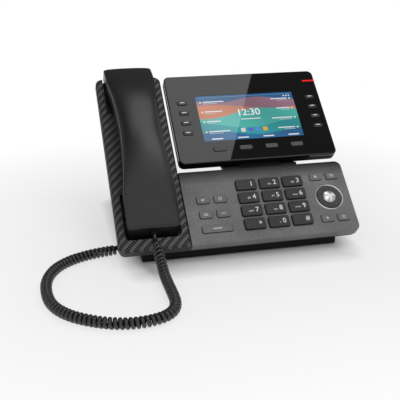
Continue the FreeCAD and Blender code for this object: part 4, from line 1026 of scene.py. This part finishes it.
@dataclass
class HingeShadeFlanges:
    """Two flat flanges beside the hinge lug that close the gap behind the hinge ears: dark sheets put there
    as painted shade.
    """

    middle: float = 36.55
    inner: float = 22.2
    outer: float = 40.4
    centre: Span = (94.8, -12.66)
    half: Span = (2.5, 0.62)
    square: float = 6.0
    sides: int = 32

    def build(self, material: bpy.types.Material) -> None:
        """Sweep a rounded bar along x: s = s0 + a |cos t|^(2/n), h = h0 + b |sin t|^(2/n), signs kept.

        Args:
            material: finish of the flanges.
        """
        turn = np.arange(self.sides) * TURN / self.sides
        power = 2 / self.square
        s = self.centre[0] + self.half[0] * np.sign(np.cos(turn)) * np.abs(np.cos(turn)) ** power
        h = self.centre[1] + self.half[1] * np.sign(np.sin(turn)) * np.abs(np.sin(turn)) ** power
        for side in Side:
            ends = np.sort(self.middle + side.value * np.array([self.inner, self.outer]))
            x = np.broadcast_to(ends[:, None], (len(ends), self.sides))
            rings = np.stack([x, np.broadcast_to(s, x.shape), np.broadcast_to(h, x.shape)], axis=-1)
            piece = loft_object(f"hinge_shade_flange_{side.name.lower()}", SLAB.to_row(rings), smooth=False)
            dress(piece, material)
            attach(piece, "display")
        LOG.info("hinge flanges: %d", len(Side))


@dataclass
class Legends:
    """White signs on the keys: digits with small letter groups, and plain marks on the function keys."""

    dial_left: float = 13.8
    dial_front: float = 17.0
    dial_pitch: float = 24.85
    dial_row: float = 14.9
    dial_top: float = 2.4
    function_top: float = 1.3
    lift: float = 0.05
    digit: float = 7.4
    digit_shift: Span = (5.4, 0.2)
    letter: float = 3.0
    letter_end: Span = (1.6, -2.4)
    boldness: float = 0.012
    text_steps: int = 4
    stroke: float = 0.7
    long_bar: Span = (9.0, 1.0)
    short_bar: float = 4.2
    bar_rise: float = 0.8
    cross: float = 3.6
    cross_lift: float = 0.01
    dot: Span = (0.6, 0.1)
    dot_pitch: float = 1.8
    ring_radii: Span = (1.8, 1.2)
    ring_sides: int = 20
    arrow: tuple[Span, ...] = ((-1.4, -1.5), (1.8, 0.0), (-1.4, 1.5))
    rows: tuple[tuple[tuple[str, str, str], ...], ...] = (
        (("key_star", "*", ""), ("key_0", "0", "+"), ("key_hash", "#", "")),
        (("key_7", "7", "pqrs"), ("key_8", "8", "tuv"), ("key_9", "9", "wxyz")),
        (("key_4", "4", "ghi"), ("key_5", "5", "jkl"), ("key_6", "6", "mno")),
        (("key_1", "1", ""), ("key_2", "2", "abc"), ("key_3", "3", "def")),
    )
    marks: tuple[tuple[str, float, float, Mark], ...] = (
        ("left_key_upper_a", -33.3, 48.2, Mark.ARROW),
        ("left_key_upper_b", -15.7, 48.2, Mark.RING),
        ("left_key_lower_a", -33.3, 31.6, Mark.TWO_BARS),
        ("left_key_lower_b", -15.7, 31.6, Mark.DOTS),
        ("left_key_wide", -24.5, 15.7, Mark.BAR),
        ("right_key_upper_a", 90.0, 64.8, Mark.ARROW),
        ("right_key_upper_b", 107.6, 64.8, Mark.TWO_BARS),
        ("right_key_lower_a", 90.0, 15.8, Mark.CROSS),
        ("right_key_lower_b", 107.6, 15.8, Mark.RING),
    )

    def glyphs(self, text: str, size: float) -> Flat:
        """Flat outline of a short text, filled.

        Args:
            text: the text.
            size: height of its letters in millimetres.

        Returns:
            Points in millimetres and faces.
        """
        curve = bpy.data.curves.new("sign", "FONT")
        curve.body = text
        curve.size = size
        curve.resolution_u = self.text_steps
        curve.offset = size * self.boldness
        return curve_shape(curve)

    def sign(self, name: str, parts: Sequence[Flat], key: str, finish: bpy.types.Material) -> None:
        """Join flat parts into one sign that rides on its key.

        Args:
            name: name of the piece.
            parts: points in slab millimetres and faces.
            key: body that it rides on.
            finish: finish of the sign.
        """
        piece = flat_object(name, parts)
        dress(piece, finish)
        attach(piece, key)

    @staticmethod
    def bar(x: float, s: float, wide: float, tall: float, h: float) -> Flat:
        """Flat rectangle round a point.

        Args:
            x: middle across the slab.
            s: middle up the slab.
            wide: width.
            tall: length up the slab.
            h: height out of the slab.

        Returns:
            Points and faces.
        """
        corners = np.array([[-1, -1], [1, -1], [1, 1], [-1, 1]]) * np.array([wide / 2, tall / 2])
        return np.column_stack([corners + np.array([x, s]), np.full(len(corners), h)]), [[0, 1, 2, 3]]

    def ring(self, x: float, s: float, radii: Span, h: float) -> Flat:
        """Flat ring round a point: two circles joined by quads.

        Args:
            x: middle across the slab.
            s: middle up the slab.
            radii: outer and inner radius.
            h: height out of the slab.

        Returns:
            Points and faces.
        """
        count = self.ring_sides
        angle = np.arange(count) * TURN / count
        circle = np.column_stack([np.cos(angle), np.sin(angle)])
        flat = np.concatenate([circle * radius for radius in radii]) + np.array([x, s])
        near = np.arange(count)
        following = (near + 1) % count
        faces = np.stack([near, following, count + following, count + near], axis=1)
        return np.column_stack([flat, np.full(len(flat), h)]), faces.tolist()

    def mark(self, kind: Mark, x: float, s: float, h: float) -> list[Flat]:
        """Flat parts of one plain mark.

        Args:
            kind: which mark.
            x: middle across the slab.
            s: middle up the slab.
            h: height out of the slab.

        Returns:
            Points and faces of each part.
        """
        if kind is Mark.BAR:
            return [self.bar(x, s, *self.long_bar, h)]
        if kind is Mark.TWO_BARS:
            rises = (self.bar_rise, -self.bar_rise)
            return [self.bar(x, s + rise, self.short_bar, self.stroke, h) for rise in rises]
        if kind is Mark.CROSS:
            level = self.bar(x, s, self.cross, self.stroke, h)
            return [level, self.bar(x, s, self.stroke, self.cross, h + self.cross_lift)]
        if kind is Mark.DOTS:
            return [self.ring(x + self.dot_pitch * step, s, self.dot, h) for step in (-1, 0, 1)]
        if kind is Mark.RING:
            return [self.ring(x, s, self.ring_radii, h)]
        head = np.array(self.arrow) + np.array([x, s])
        return [(np.column_stack([head, np.full(len(head), h)]), [[0, 1, 2]])]

    def dial_sign(self, text: str, size: float, place: Span, middle: bool) -> Flat:
        """Set a text on a dial key.

        Args:
            text: the text.
            size: height of its letters.
            place: where it stands on the slab.
            middle: whether the place is the text's middle, and not its lower right corner.

        Returns:
            Points and faces.
        """
        points, faces = self.glyphs(text, size)
        low, high = points.min(0), points.max(0)
        anchor = (low + high) / 2 if middle else np.array([high[0], low[1], 0.0])
        return points - anchor + np.array([*place, self.dial_top + self.lift]), faces

    def build(self, white: bpy.types.Material, grey: bpy.types.Material) -> None:
        """Set every sign a hair above its key's top.

        Args:
            white: finish of digits.
            grey: finish of letters and marks.
        """
        for row, keys in enumerate(self.rows):
            for column, (key, digit, letters) in enumerate(keys):
                x = self.dial_left + self.dial_pitch * column
                s = self.dial_front + self.dial_row * row
                place = (x + self.digit_shift[0], s + self.digit_shift[1])
                part = self.dial_sign(digit, self.digit, place, middle=True)
                self.sign(f"digit_{key}", [part], key, white)
                if letters:
                    place = (x + self.letter_end[0], s + self.letter_end[1])
                    part = self.dial_sign(letters, self.letter, place, middle=False)
                    self.sign(f"letters_{key}", [part], key, grey)
        for key, x, s, kind in self.marks:
            self.sign(f"mark_{key}", self.mark(kind, x, s, self.function_top + self.lift), key, grey)
        LOG.info("legends: %d keys", sum(map(len, self.rows)) + len(self.marks))


@dataclass
class ScreenPicture:
    """Generic lit picture: rolling colour bands, label bars beside the line keys and a row of tiles."""

    left: float = -18.9
    width: float = 110.5
    front: float = 117.2
    length: float = 59.3
    top: float = 0.75
    margin: float = 0.25
    columns: int = 150
    rows: int = 80
    colours: tuple[Colour, ...] = (
        (0.030, 0.150, 0.330), (0.035, 0.330, 0.350), (0.080, 0.450, 0.400),
        (0.560, 0.210, 0.120), (0.300, 0.160, 0.220), (0.020, 0.110, 0.280),
    )
    rolls: tuple[tuple[float, float, float, float, float], ...] = (
        (0.14, 0.05, 7.0, 0.6, 0.0), (0.34, 0.09, 5.2, 2.2, 0.0), (0.55, 0.08, 6.1, 4.0, 0.10),
        (0.72, 0.07, 4.4, 1.1, 0.0), (0.88, 0.05, 8.0, 3.0, 0.0),
    )
    blur: float = 0.02
    sheen: Span = (0.85, 0.3)
    sheen_rate: Span = (3.0, 2.0)
    label_lift: float = 0.06
    label_inset: float = 3.0
    line_front: float = 128.9
    line_pitch: float = 12.9
    label_lengths: tuple[tuple[float, ...], ...] = ((23.0, 15.0, 19.0, 23.0), (19.0, 23.0, 15.0, 19.0))
    label_start: float = 4.5
    label_rise: float = 0.4
    label_height: float = 1.3
    note_share: float = 1.5
    note_drop: float = 1.9
    note_height: float = 0.7
    icon: float = 2.0
    icon_place: float = 1.6
    soft_count: int = 4
    soft_left: float = -4.2
    soft_pitch: float = 28.2
    soft_rise: float = 2.6
    soft_label: Span = (12.0, 1.5)
    tile: float = 5.0
    tile_left: float = 26.0
    tile_pitch: float = 8.2
    tile_rise: float = 12.0
    tile_colours: tuple[Colour, ...] = (
        (0.75, 0.78, 0.8), (0.16, 0.14, 0.62), (0.10, 0.30, 0.75), (0.85, 0.45, 0.05),
    )
    middle: float = 37.5
    rule_drop: float = 2.6
    rule_short: float = 6.0
    rule_height: float = 0.25
    state: float = 1.6
    state_middle: float = 84.0
    state_pitch: float = 3.0
    state_drop: float = 5.0
    clock: str = "12:30"
    clock_size: float = 12.0
    clock_rise: float = 35.0
    date_rise: float = 26.0
    date_bar: Span = (22.0, 1.1)
    white: Colour = (0.85, 0.87, 0.9)
    clock_white: Colour = (0.92, 0.93, 0.95)
    note_grey: Colour = (0.5, 0.6, 0.65)
    rule_blue: Colour = (0.4, 0.55, 0.65)
    icon_green: Colour = (0.8, 0.85, 0.6)

    def bands(self) -> bpy.types.Object:
        """Picture ground: colours chosen by how high a point lies above rolling lines, with blended edges.

        A line's height is level + swing sin(rate u + start) + climb u.

        Returns:
            The ground's mesh.
        """
        u, v = np.meshgrid(np.linspace(0.0, 1.0, self.columns), np.linspace(0.0, 1.0, self.rows))
        colours = np.array(self.colours)
        tint = np.broadcast_to(colours[0], (*u.shape, 3)).copy()
        for (level, swing, rate, start, climb), colour in zip(self.rolls, colours[1:]):
            line = level + swing * np.sin(u * rate + start) + climb * u
            share = np.clip((v - line) / self.blur + 0.5, 0.0, 1.0)[..., None]
            tint = tint * (1 - share) + colour * share
        wave = np.sin(u * self.sheen_rate[0] + v * self.sheen_rate[1])[..., None] ** 2
        tint = tint * (self.sheen[0] + self.sheen[1] * wave)
        x = self.left + self.margin + u * (self.width - 2 * self.margin)
        s = self.front + self.margin + v * (self.length - 2 * self.margin)
        points = SLAB.to_row(np.stack([x, s, np.full_like(x, self.top)], axis=-1))
        quads = grid_quads(self.rows, self.columns, wrap=False)
        piece = mesh_object("screen_ground", points, quads, smooth=False)
        self.paint(piece, tint.reshape(-1, 3))
        return piece

    @staticmethod
    def paint(piece: bpy.types.Object, colours: np.ndarray) -> None:
        """Store point colours in the attribute that the screen's finish reads.

        Args:
            piece: the mesh.
            colours: (n, 3) array, one colour for each point.
        """
        layer = piece.data.attributes.new("tint", "FLOAT_COLOR", "POINT")
        opaque = np.column_stack([colours, np.ones(len(colours))])
        layer.data.foreach_set("color", opaque.astype(np.float32).ravel())

    def line_labels(self, legends: Legends) -> list[Painted]:
        """An icon, a label bar and a shorter bar under it beside each line key.

        Args:
            legends: maker of flat bars.

        Returns:
            Flat parts with their colours.
        """
        parts: list[Painted] = []
        height = self.top + self.label_lift
        edges = (self.left + self.label_inset, self.left + self.width - self.label_inset)
        for side, edge, lengths in zip(Side, edges, self.label_lengths):
            inward = -side.value
            for row, long in enumerate(lengths):
                s = self.line_front + self.line_pitch * row
                note = long / self.note_share
                icon = legends.bar(edge + inward * self.icon_place, s, self.icon, self.icon, height)
                x = edge + inward * (self.label_start + long / 2)
                label = legends.bar(x, s + self.label_rise, long, self.label_height, height)
                x = edge + inward * (self.label_start + note / 2)
                under = legends.bar(x, s - self.note_drop, note, self.note_height, height)
                parts += [(icon, self.icon_green), (label, self.white), (under, self.note_grey)]
        return parts

    def foot_labels(self, legends: Legends) -> list[Painted]:
        """A bar over each soft key and a row of tiles.

        Args:
            legends: maker of flat bars.

        Returns:
            Flat parts with their colours.
        """
        height = self.top + self.label_lift
        parts: list[Painted] = []
        for column in range(self.soft_count):
            x = self.soft_left + self.soft_pitch * column
            label = legends.bar(x, self.front + self.soft_rise, *self.soft_label, height)
            parts.append((label, self.white))
        for column, colour in enumerate(self.tile_colours):
            x = self.tile_left + self.tile_pitch * column
            tile = legends.bar(x, self.front + self.tile_rise, self.tile, self.tile, height)
            parts.append((tile, colour))
        return parts

    def head_labels(self, legends: Legends) -> list[Painted]:
        """A rule and three state squares at the top, and a clock with a bar under it in the middle.

        Args:
            legends: maker of flat bars and texts.

        Returns:
            Flat parts with their colours.
        """
        height = self.top + self.label_lift
        back = self.front + self.length
        rule = legends.bar(
            self.middle, back - self.rule_drop, self.width - self.rule_short, self.rule_height, height
        )
        parts: list[Painted] = [(rule, self.rule_blue)]
        for step in (-1, 0, 1):
            x = self.state_middle + self.state_pitch * step
            square = legends.bar(x, back - self.state_drop, self.state, self.state, height)
            parts.append((square, self.white))
        points, faces = legends.glyphs(self.clock, self.clock_size)
        centre = np.array([self.middle, self.front + self.clock_rise, height])
        clock = points - (points.min(0) + points.max(0)) / 2 + centre
        date = legends.bar(self.middle, self.front + self.date_rise, *self.date_bar, height)
        return parts + [((clock, faces), self.clock_white), (date, self.white)]

    def labels(self, legends: Legends) -> bpy.types.Object:
        """Join all labels into one painted piece.

        Args:
            legends: maker of flat bars and texts.

        Returns:
            The labels' mesh.
        """
        parts = self.line_labels(legends) + self.foot_labels(legends) + self.head_labels(legends)
        piece = flat_object("screen_labels", [part for part, _ in parts])
        counts = [len(points) for (points, _), _ in parts]
        self.paint(piece, np.repeat(np.array([colour for _, colour in parts]), counts, axis=0))
        return piece

    def build(self, legends: Legends, finish: bpy.types.Material) -> None:
        """Lay ground and labels just above the screen's face, on the display.

        Args:
            legends: maker of flat bars and texts.
            finish: finish that shows the painted colours.
        """
        for piece in (self.bands(), self.labels(legends)):
            dress(piece, finish)
            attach(piece, "display")
            LOG.info("%s: %d points", piece.name, len(piece.data.vertices))


@dataclass
class KeyLights:
    """Small lit bars on the line keys."""

    middles: Span = (-34.1, 110.3)
    front: float = 128.9
    pitch: float = 12.9
    count: int = 4
    top: float = 2.1
    lift: float = 0.05
    rise: float = 0.4
    bar: Span = (4.6, 0.9)

    def build(self, legends: Legends, lit: bpy.types.Material) -> None:
        """Set one bar on each line key.

        Args:
            legends: maker of flat bars and signs.
            lit: finish of the bars.
        """
        for side, x in zip(Side, self.middles):
            for row in range(self.count):
                key = f"line_key_{side.name.lower()}_{row + 1}"
                s = self.front + self.pitch * row + self.rise
                part = legends.bar(x, s, *self.bar, self.top + self.lift)
                legends.sign(f"light_{key}", [part], key, lit)
        LOG.info("key lights: %d", len(Side) * self.count)


@dataclass(frozen=True)
class Lamp:
    """Rectangular soft lamp: places and sizes in metres, power in watts and roll in degrees."""

    name: str
    place: Place
    aim: Place
    wide: float
    tall: float
    power: float
    roll: float = 0.0

    def build(self) -> None:
        """Hang the lamp at its place, turned towards its aim."""
        light = bpy.data.lights.new(self.name, "AREA")
        light.shape = "RECTANGLE"
        light.size = self.wide
        light.size_y = self.tall
        light.energy = self.power
        carrier = bpy.data.objects.new(self.name, light)
        turn = (Vector(self.aim) - Vector(self.place)).to_track_quat("-Z", "Y").to_matrix().to_4x4()
        roll = Matrix.Rotation(math.radians(self.roll), 4, "Z")
        carrier.matrix_world = Matrix.Translation(self.place) @ turn @ roll
        bpy.context.scene.collection.objects.link(carrier)


@dataclass
class Studio:
    """Pale floor, soft lamps and the camera.

    Eye, lens, sensor and footprint are in millimetres, and other lengths in metres.
    """

    eye: Place = (-194.4, -620.4, 300.7)
    heading: Place = (0.2205, 0.9114, -0.3476)
    lens: float = 65.43
    sensor: float = 36.0
    shift: float = -0.002
    view_end: float = 50.0
    dim: float = 0.14
    reach: float = 9.0
    floor_drop: float = 0.0004
    floor_colour: Colour = (0.98, 0.98, 0.98)
    floor_roughness: float = 0.6
    floor_specular: float = 0.1
    # Footprint and fades of the floor: lit paint with a painted shadow near the phone, plain white further
    # off.
    footprint: Span = (98.0, 94.0)
    near_end: float = 0.025
    near_share: float = 0.36
    far_span: Span = (0.03, 0.28)
    lamps: tuple[Lamp, ...] = (
        Lamp("overhead", (0.161, 0.097, 1.25), (0.161, 0.097, 0.0), 0.48, 0.66, 1.92, -16.1),
        Lamp("overhead_front", (0.36, -0.42, 1.25), (0.36, -0.42, 0.0), 0.56, 0.42, 1.9),
        Lamp("front_fill", (-0.3, -2.1, 1.5), (0.0, 0.0, 0.1), 4.0, 2.6, 25.0),
        Lamp("left_fill", (-2.2, 0.1, 1.4), (0.0, 0.0, 0.0), 2.6, 2.2, 6.0),
        Lamp("right_fill", (2.2, 0.1, 1.4), (0.0, 0.0, 0.0), 2.6, 2.2, 11.0),
    )

    def floor_material(self) -> bpy.types.Material:
        """White paint that takes shadows and a painted shadow near the phone, and shows as plain white
        further off.

        With d the distance outside the footprint, the paint's share is near(d) far(d): near falls to
        near_share close to the footprint, and far falls to nothing over far_span. The lit paint is darker
        than the plain white, so the floor darkens towards the footprint: a painted shadow round the phone,
        added to its real shadows.

        Returns:
            The material.
        """
        material, graph, shader = new_material("floor_white")
        shader.inputs["Base Color"].default_value = shade(self.floor_colour)
        shader.inputs["Roughness"].default_value = self.floor_roughness
        shader.inputs["Specular IOR Level"].default_value = self.floor_specular
        split = graph.axes(graph.node("ShaderNodeTexCoord").outputs["Object"])
        squares = []
        for axis, half in zip("XY", self.footprint):
            past = graph.math("SUBTRACT", graph.math("ABSOLUTE", split.outputs[axis]), half * MM)
            aside = graph.math("MAXIMUM", past, 0.0)
            squares.append(graph.math("MULTIPLY", aside, aside))
        away = graph.math("SQRT", graph.math("ADD", *squares))
        # Painted shadow: lit paint, darker than the plain white, takes over close to the footprint.
        near = graph.ramp(away, 0.0, self.near_end, 1.0, self.near_share)
        painted = graph.math("MULTIPLY", near, graph.ramp(away, *self.far_span, 1.0, 0.0))
        path = graph.node("ShaderNodeLightPath")
        seen = graph.math("ADD", path.outputs["Is Camera Ray"], path.outputs["Is Glossy Ray"])
        seen = graph.math("ADD", seen, path.outputs["Is Transmission Ray"], clamp=True)
        glow = graph.node("ShaderNodeEmission")
        glow.inputs["Color"].default_value = WHITE
        glow.inputs["Strength"].default_value = 1.0
        mixer = graph.node("ShaderNodeMixShader")
        graph.feed(mixer.inputs[0], graph.math("MULTIPLY", graph.math("SUBTRACT", 1.0, painted), seen))
        graph.feed(mixer.inputs[1], shader.outputs[0])
        graph.feed(mixer.inputs[2], glow.outputs[0])
        output = next(node for node in material.node_tree.nodes if node.type == "OUTPUT_MATERIAL")
        graph.feed(output.inputs["Surface"], mixer.outputs[0])
        return material

    def floor(self) -> None:
        """Lay the floor a hair under the phone's feet."""
        corners = np.array([[-1, -1, 0], [1, -1, 0], [1, 1, 0], [-1, 1, 0]]) * self.reach
        points = corners - np.array([0.0, 0.0, self.floor_drop])
        piece = mesh_object("floor", points, np.array([[0, 1, 2, 3]]), smooth=False)
        dress(piece, self.floor_material())

    def world(self) -> None:
        """Dim surroundings that the camera itself sees as white."""
        made = bpy.data.worlds.new("surroundings")
        bpy.context.scene.world = made
        made.use_nodes = True
        graph = NodeGraph(made.node_tree)
        sky = next(node for node in made.node_tree.nodes if node.type == "BACKGROUND")
        sky.inputs["Color"].default_value = WHITE
        path = graph.node("ShaderNodeLightPath")
        strength = graph.ramp(path.outputs["Is Camera Ray"], 0.0, 1.0, self.dim, 1.0)
        graph.feed(sky.inputs["Strength"], strength)

    def camera(self) -> None:
        """Camera at the photograph's place and angle."""
        view = bpy.data.cameras.new("camera")
        view.lens = self.lens
        view.sensor_width = self.sensor
        view.shift_x = self.shift
        view.clip_end = self.view_end
        carrier = bpy.data.objects.new("camera", view)
        eye = SLAB.desk_to_row(np.array(self.eye))
        turn = Vector(self.heading).to_track_quat("-Z", "Y").to_matrix().to_4x4()
        carrier.matrix_world = Matrix.Translation(Vector(eye)) @ turn
        bpy.context.scene.collection.objects.link(carrier)
        bpy.context.scene.camera = carrier

    def build(self) -> None:
        """Set up floor, lamps, surroundings and camera."""
        self.floor()
        for lamp in self.lamps:
            lamp.build()
        self.world()
        self.camera()
        bpy.context.scene.view_settings.view_transform = "Standard"
        LOG.info("studio: floor, camera and %d lamps", len(self.lamps))


# Finish of each CAD node, and of nodes whose names start alike; all others are black housing.
NODE_FINISH = {
    "cradle_cover": "cradle", "keypad_panel": "panel", "lower_housing": "tray",
    "nav_trim_ring": "rim", "nav_ring": "ring", "ok_button": "silver",
    "display_bezel": "gloss", "lcd_module": "glass", "call_light": "red",
    "stand_feet": "rubber", "keypad_mat": "rubber", "main_board": "board", "display_board": "board",
    "network_jacks": "jack", "handset_plug": "plug", "base_plug": "plug", "curly_cord": "cord",
    "handset_back_shell": "handset", "handset_face_shell": "handset", "hinge_pin": "steel",
    "housing_screws": "steel", "loudspeaker": "steel", "earpiece_receiver": "steel",
    "microphone_capsule": "steel",
}
START_FINISH = {
    "key_": "dial", "left_key": "function", "right_key": "function", "soft_key": "soft", "line_key": "line",
}


@dataclass
class Finishes:
    """All finishes of the phone, built once."""

    handset: PlasticFinish = PlasticFinish(
        "handset_satin", (0.008, 0.008, 0.0084), roughness=0.32, grain=2600.0, depth=0.00002, strength=0.15,
        spread=0.12, specular=0.58,
    )
    # Cradle: twill with painted shade in its grooves.
    cradle: TwillFinish = TwillFinish("cradle_twill", low=(0.001, 0.001, 0.001), high=(0.088, 0.088, 0.089))
    # Panel: painted shade darkens it towards its rear edge under the display.
    panel: PlasticFinish = PlasticFinish(
        "panel_grain", (0.2, 0.2, 0.201), roughness=0.55, grain=800.0, depth=0.00012, strength=0.5,
        spread=0.5, specular=0.35, painted_shade_span=(66.0, 81.0), painted_shade_share=0.06,
    )
    # Tray: painted shade darkens it inwards from its front edge, under the covers.
    tray: PlasticFinish = PlasticFinish(
        "tray_grain", (0.085, 0.085, 0.086), roughness=0.55, grain=800.0, depth=0.00012, strength=0.5,
        spread=0.4, specular=0.35, painted_shade_span=(3.0, 9.0), painted_shade_share=0.08,
    )
    # Dial keys: painted shade darkens their sides below the top.
    dial: PlasticFinish = PlasticFinish(
        "dial_key_satin", (0.034, 0.034, 0.035), roughness=0.45, grain=2200.0, depth=0.00003, strength=0.2,
        spread=0.15, specular=0.35, painted_shade_span=(2.1, 1.7), painted_shade_share=0.12, along=Along.OUT,
    )
    # Function keys: painted shade darkens their sides below the top.
    function: PlasticFinish = PlasticFinish(
        "function_key_satin", (0.185, 0.185, 0.186), roughness=0.5, grain=1200.0, depth=0.00005,
        strength=0.3, spread=0.35, specular=0.35, painted_shade_span=(1.05, 0.65), painted_shade_share=0.08, along=Along.OUT,
    )
    ring: PlasticFinish = PlasticFinish(
        "ring_satin", (0.06, 0.06, 0.061), roughness=0.45, grain=2200.0, depth=0.00003, strength=0.2,
        spread=0.15, specular=0.35,
    )
    # Soft keys: painted shade darkens their sides below the top.
    soft: PlasticFinish = PlasticFinish(
        "soft_key_matte", (0.1, 0.1, 0.101), roughness=0.55, grain=2200.0, depth=0.00003, strength=0.2,
        spread=0.15, specular=0.35, painted_shade_span=(1.85, 1.45), painted_shade_share=0.08, along=Along.OUT,
    )
    line: PlasticFinish = PlasticFinish(
        "line_key_black", (0.02, 0.02, 0.021), roughness=0.3, grain=2200.0, depth=0.00002, strength=0.1,
        spread=0.1,
    )
    housing: PlasticFinish = PlasticFinish(
        "housing_black", (0.004, 0.004, 0.0042), roughness=0.6, grain=1500.0, depth=0.00006, strength=0.35,
        spread=0.25, specular=0.2,
    )
    rubber: PlasticFinish = PlasticFinish(
        "pad_rubber", (0.03, 0.03, 0.03), roughness=0.8, grain=900.0, depth=0.00008, strength=0.5,
        spread=0.3,
    )
    board: PlasticFinish = PlasticFinish(
        "board_lacquer", (0.02, 0.1, 0.045), roughness=0.35, grain=400.0, depth=0.00003, strength=0.3,
        spread=0.3,
    )
    jack: PlasticFinish = PlasticFinish(
        "socket_plastic", (0.05, 0.05, 0.052), roughness=0.4, grain=1500.0, depth=0.00003, strength=0.2,
        spread=0.15,
    )
    plug: PlasticFinish = PlasticFinish(
        "plug_smoke", (0.005, 0.005, 0.005), roughness=0.6, grain=900.0, depth=0.00001, strength=0.1,
        spread=0.1, specular=0.1,
    )
    cord: PlasticFinish = PlasticFinish(
        "cord_satin", (0.014, 0.014, 0.0145), roughness=0.26, grain=1600.0, depth=0.00002, strength=0.2,
        spread=0.2, specular=0.75,
    )
    gloss: GlossFinish = GlossFinish("display_gloss", (0.004, 0.004, 0.0043), roughness=0.012)
    glass: GlossFinish = GlossFinish("screen_glass", (0.006, 0.007, 0.008), roughness=0.02)
    rim: MetalFinish = MetalFinish("rim_chrome", (0.9, 0.9, 0.91), roughness=0.34)
    # Button: brushed metal with a painted sheen in its tone.
    silver: MetalFinish = MetalFinish(
        "button_brushed", (0.84, 0.84, 0.84), roughness=0.36, centre=(98.8, 40.2), brushed=True
    )
    steel: MetalFinish = MetalFinish("plain_steel", (0.45, 0.45, 0.46), roughness=0.3)
    white: PrintFinish = PrintFinish("print_white", (0.9, 0.9, 0.9))
    pale: PrintFinish = PrintFinish("print_pale", (0.78, 0.78, 0.78))
    lit: PrintFinish = PrintFinish("light_bar", (0.85, 0.86, 0.88), glow=0.2)
    red: PrintFinish = PrintFinish("call_red", (0.78, 0.012, 0.015), glow=0.45, roughness=0.2)
    screen: ScreenFinish = ScreenFinish("screen_picture")
    made: dict[str, bpy.types.Material] = field(default_factory=dict)

    def get(self, name: str) -> bpy.types.Material:
        """Material of a finish, built when it is first asked for.

        Args:
            name: field name of the finish.

        Returns:
            The material.
        """
        if name not in self.made:
            self.made[name] = getattr(self, name).material()
        return self.made[name]

    @staticmethod
    def for_node(node: str) -> str:
        """Find the finish that a CAD node wears.

        Args:
            node: name of the node.

        Returns:
            Field name of the finish.
        """
        if node in NODE_FINISH:
            return NODE_FINISH[node]
        return next((name for start, name in START_FINISH.items() if node.startswith(start)), "housing")

    def dress_nodes(self) -> None:
        """Give every CAD node its finish."""
        for name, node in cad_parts.items():
            dress(node, self.get(self.for_node(name)))
        LOG.info("CAD nodes dressed: %d", len(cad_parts))


def main() -> None:
    """Build the studio, then the cord, the handset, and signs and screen."""
    logging.basicConfig(level=logging.INFO, format="%(name)s: %(message)s")
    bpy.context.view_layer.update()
    Studio().build()
    finishes = Finishes()
    finishes.dress_nodes()
    CurlyCord().build(finishes.get("cord"))
    HandsetBack().build(finishes.get("handset"))
    # Dark flanges: painted shade in the gap behind the hinge ears.
    HingeShadeFlanges().build(finishes.get("housing"))
    legends = Legends()
    legends.build(finishes.get("white"), finishes.get("pale"))
    ScreenPicture().build(legends, finishes.get("screen"))
    KeyLights().build(legends, finishes.get("lit"))


if __name__ == "__main__":
    main()
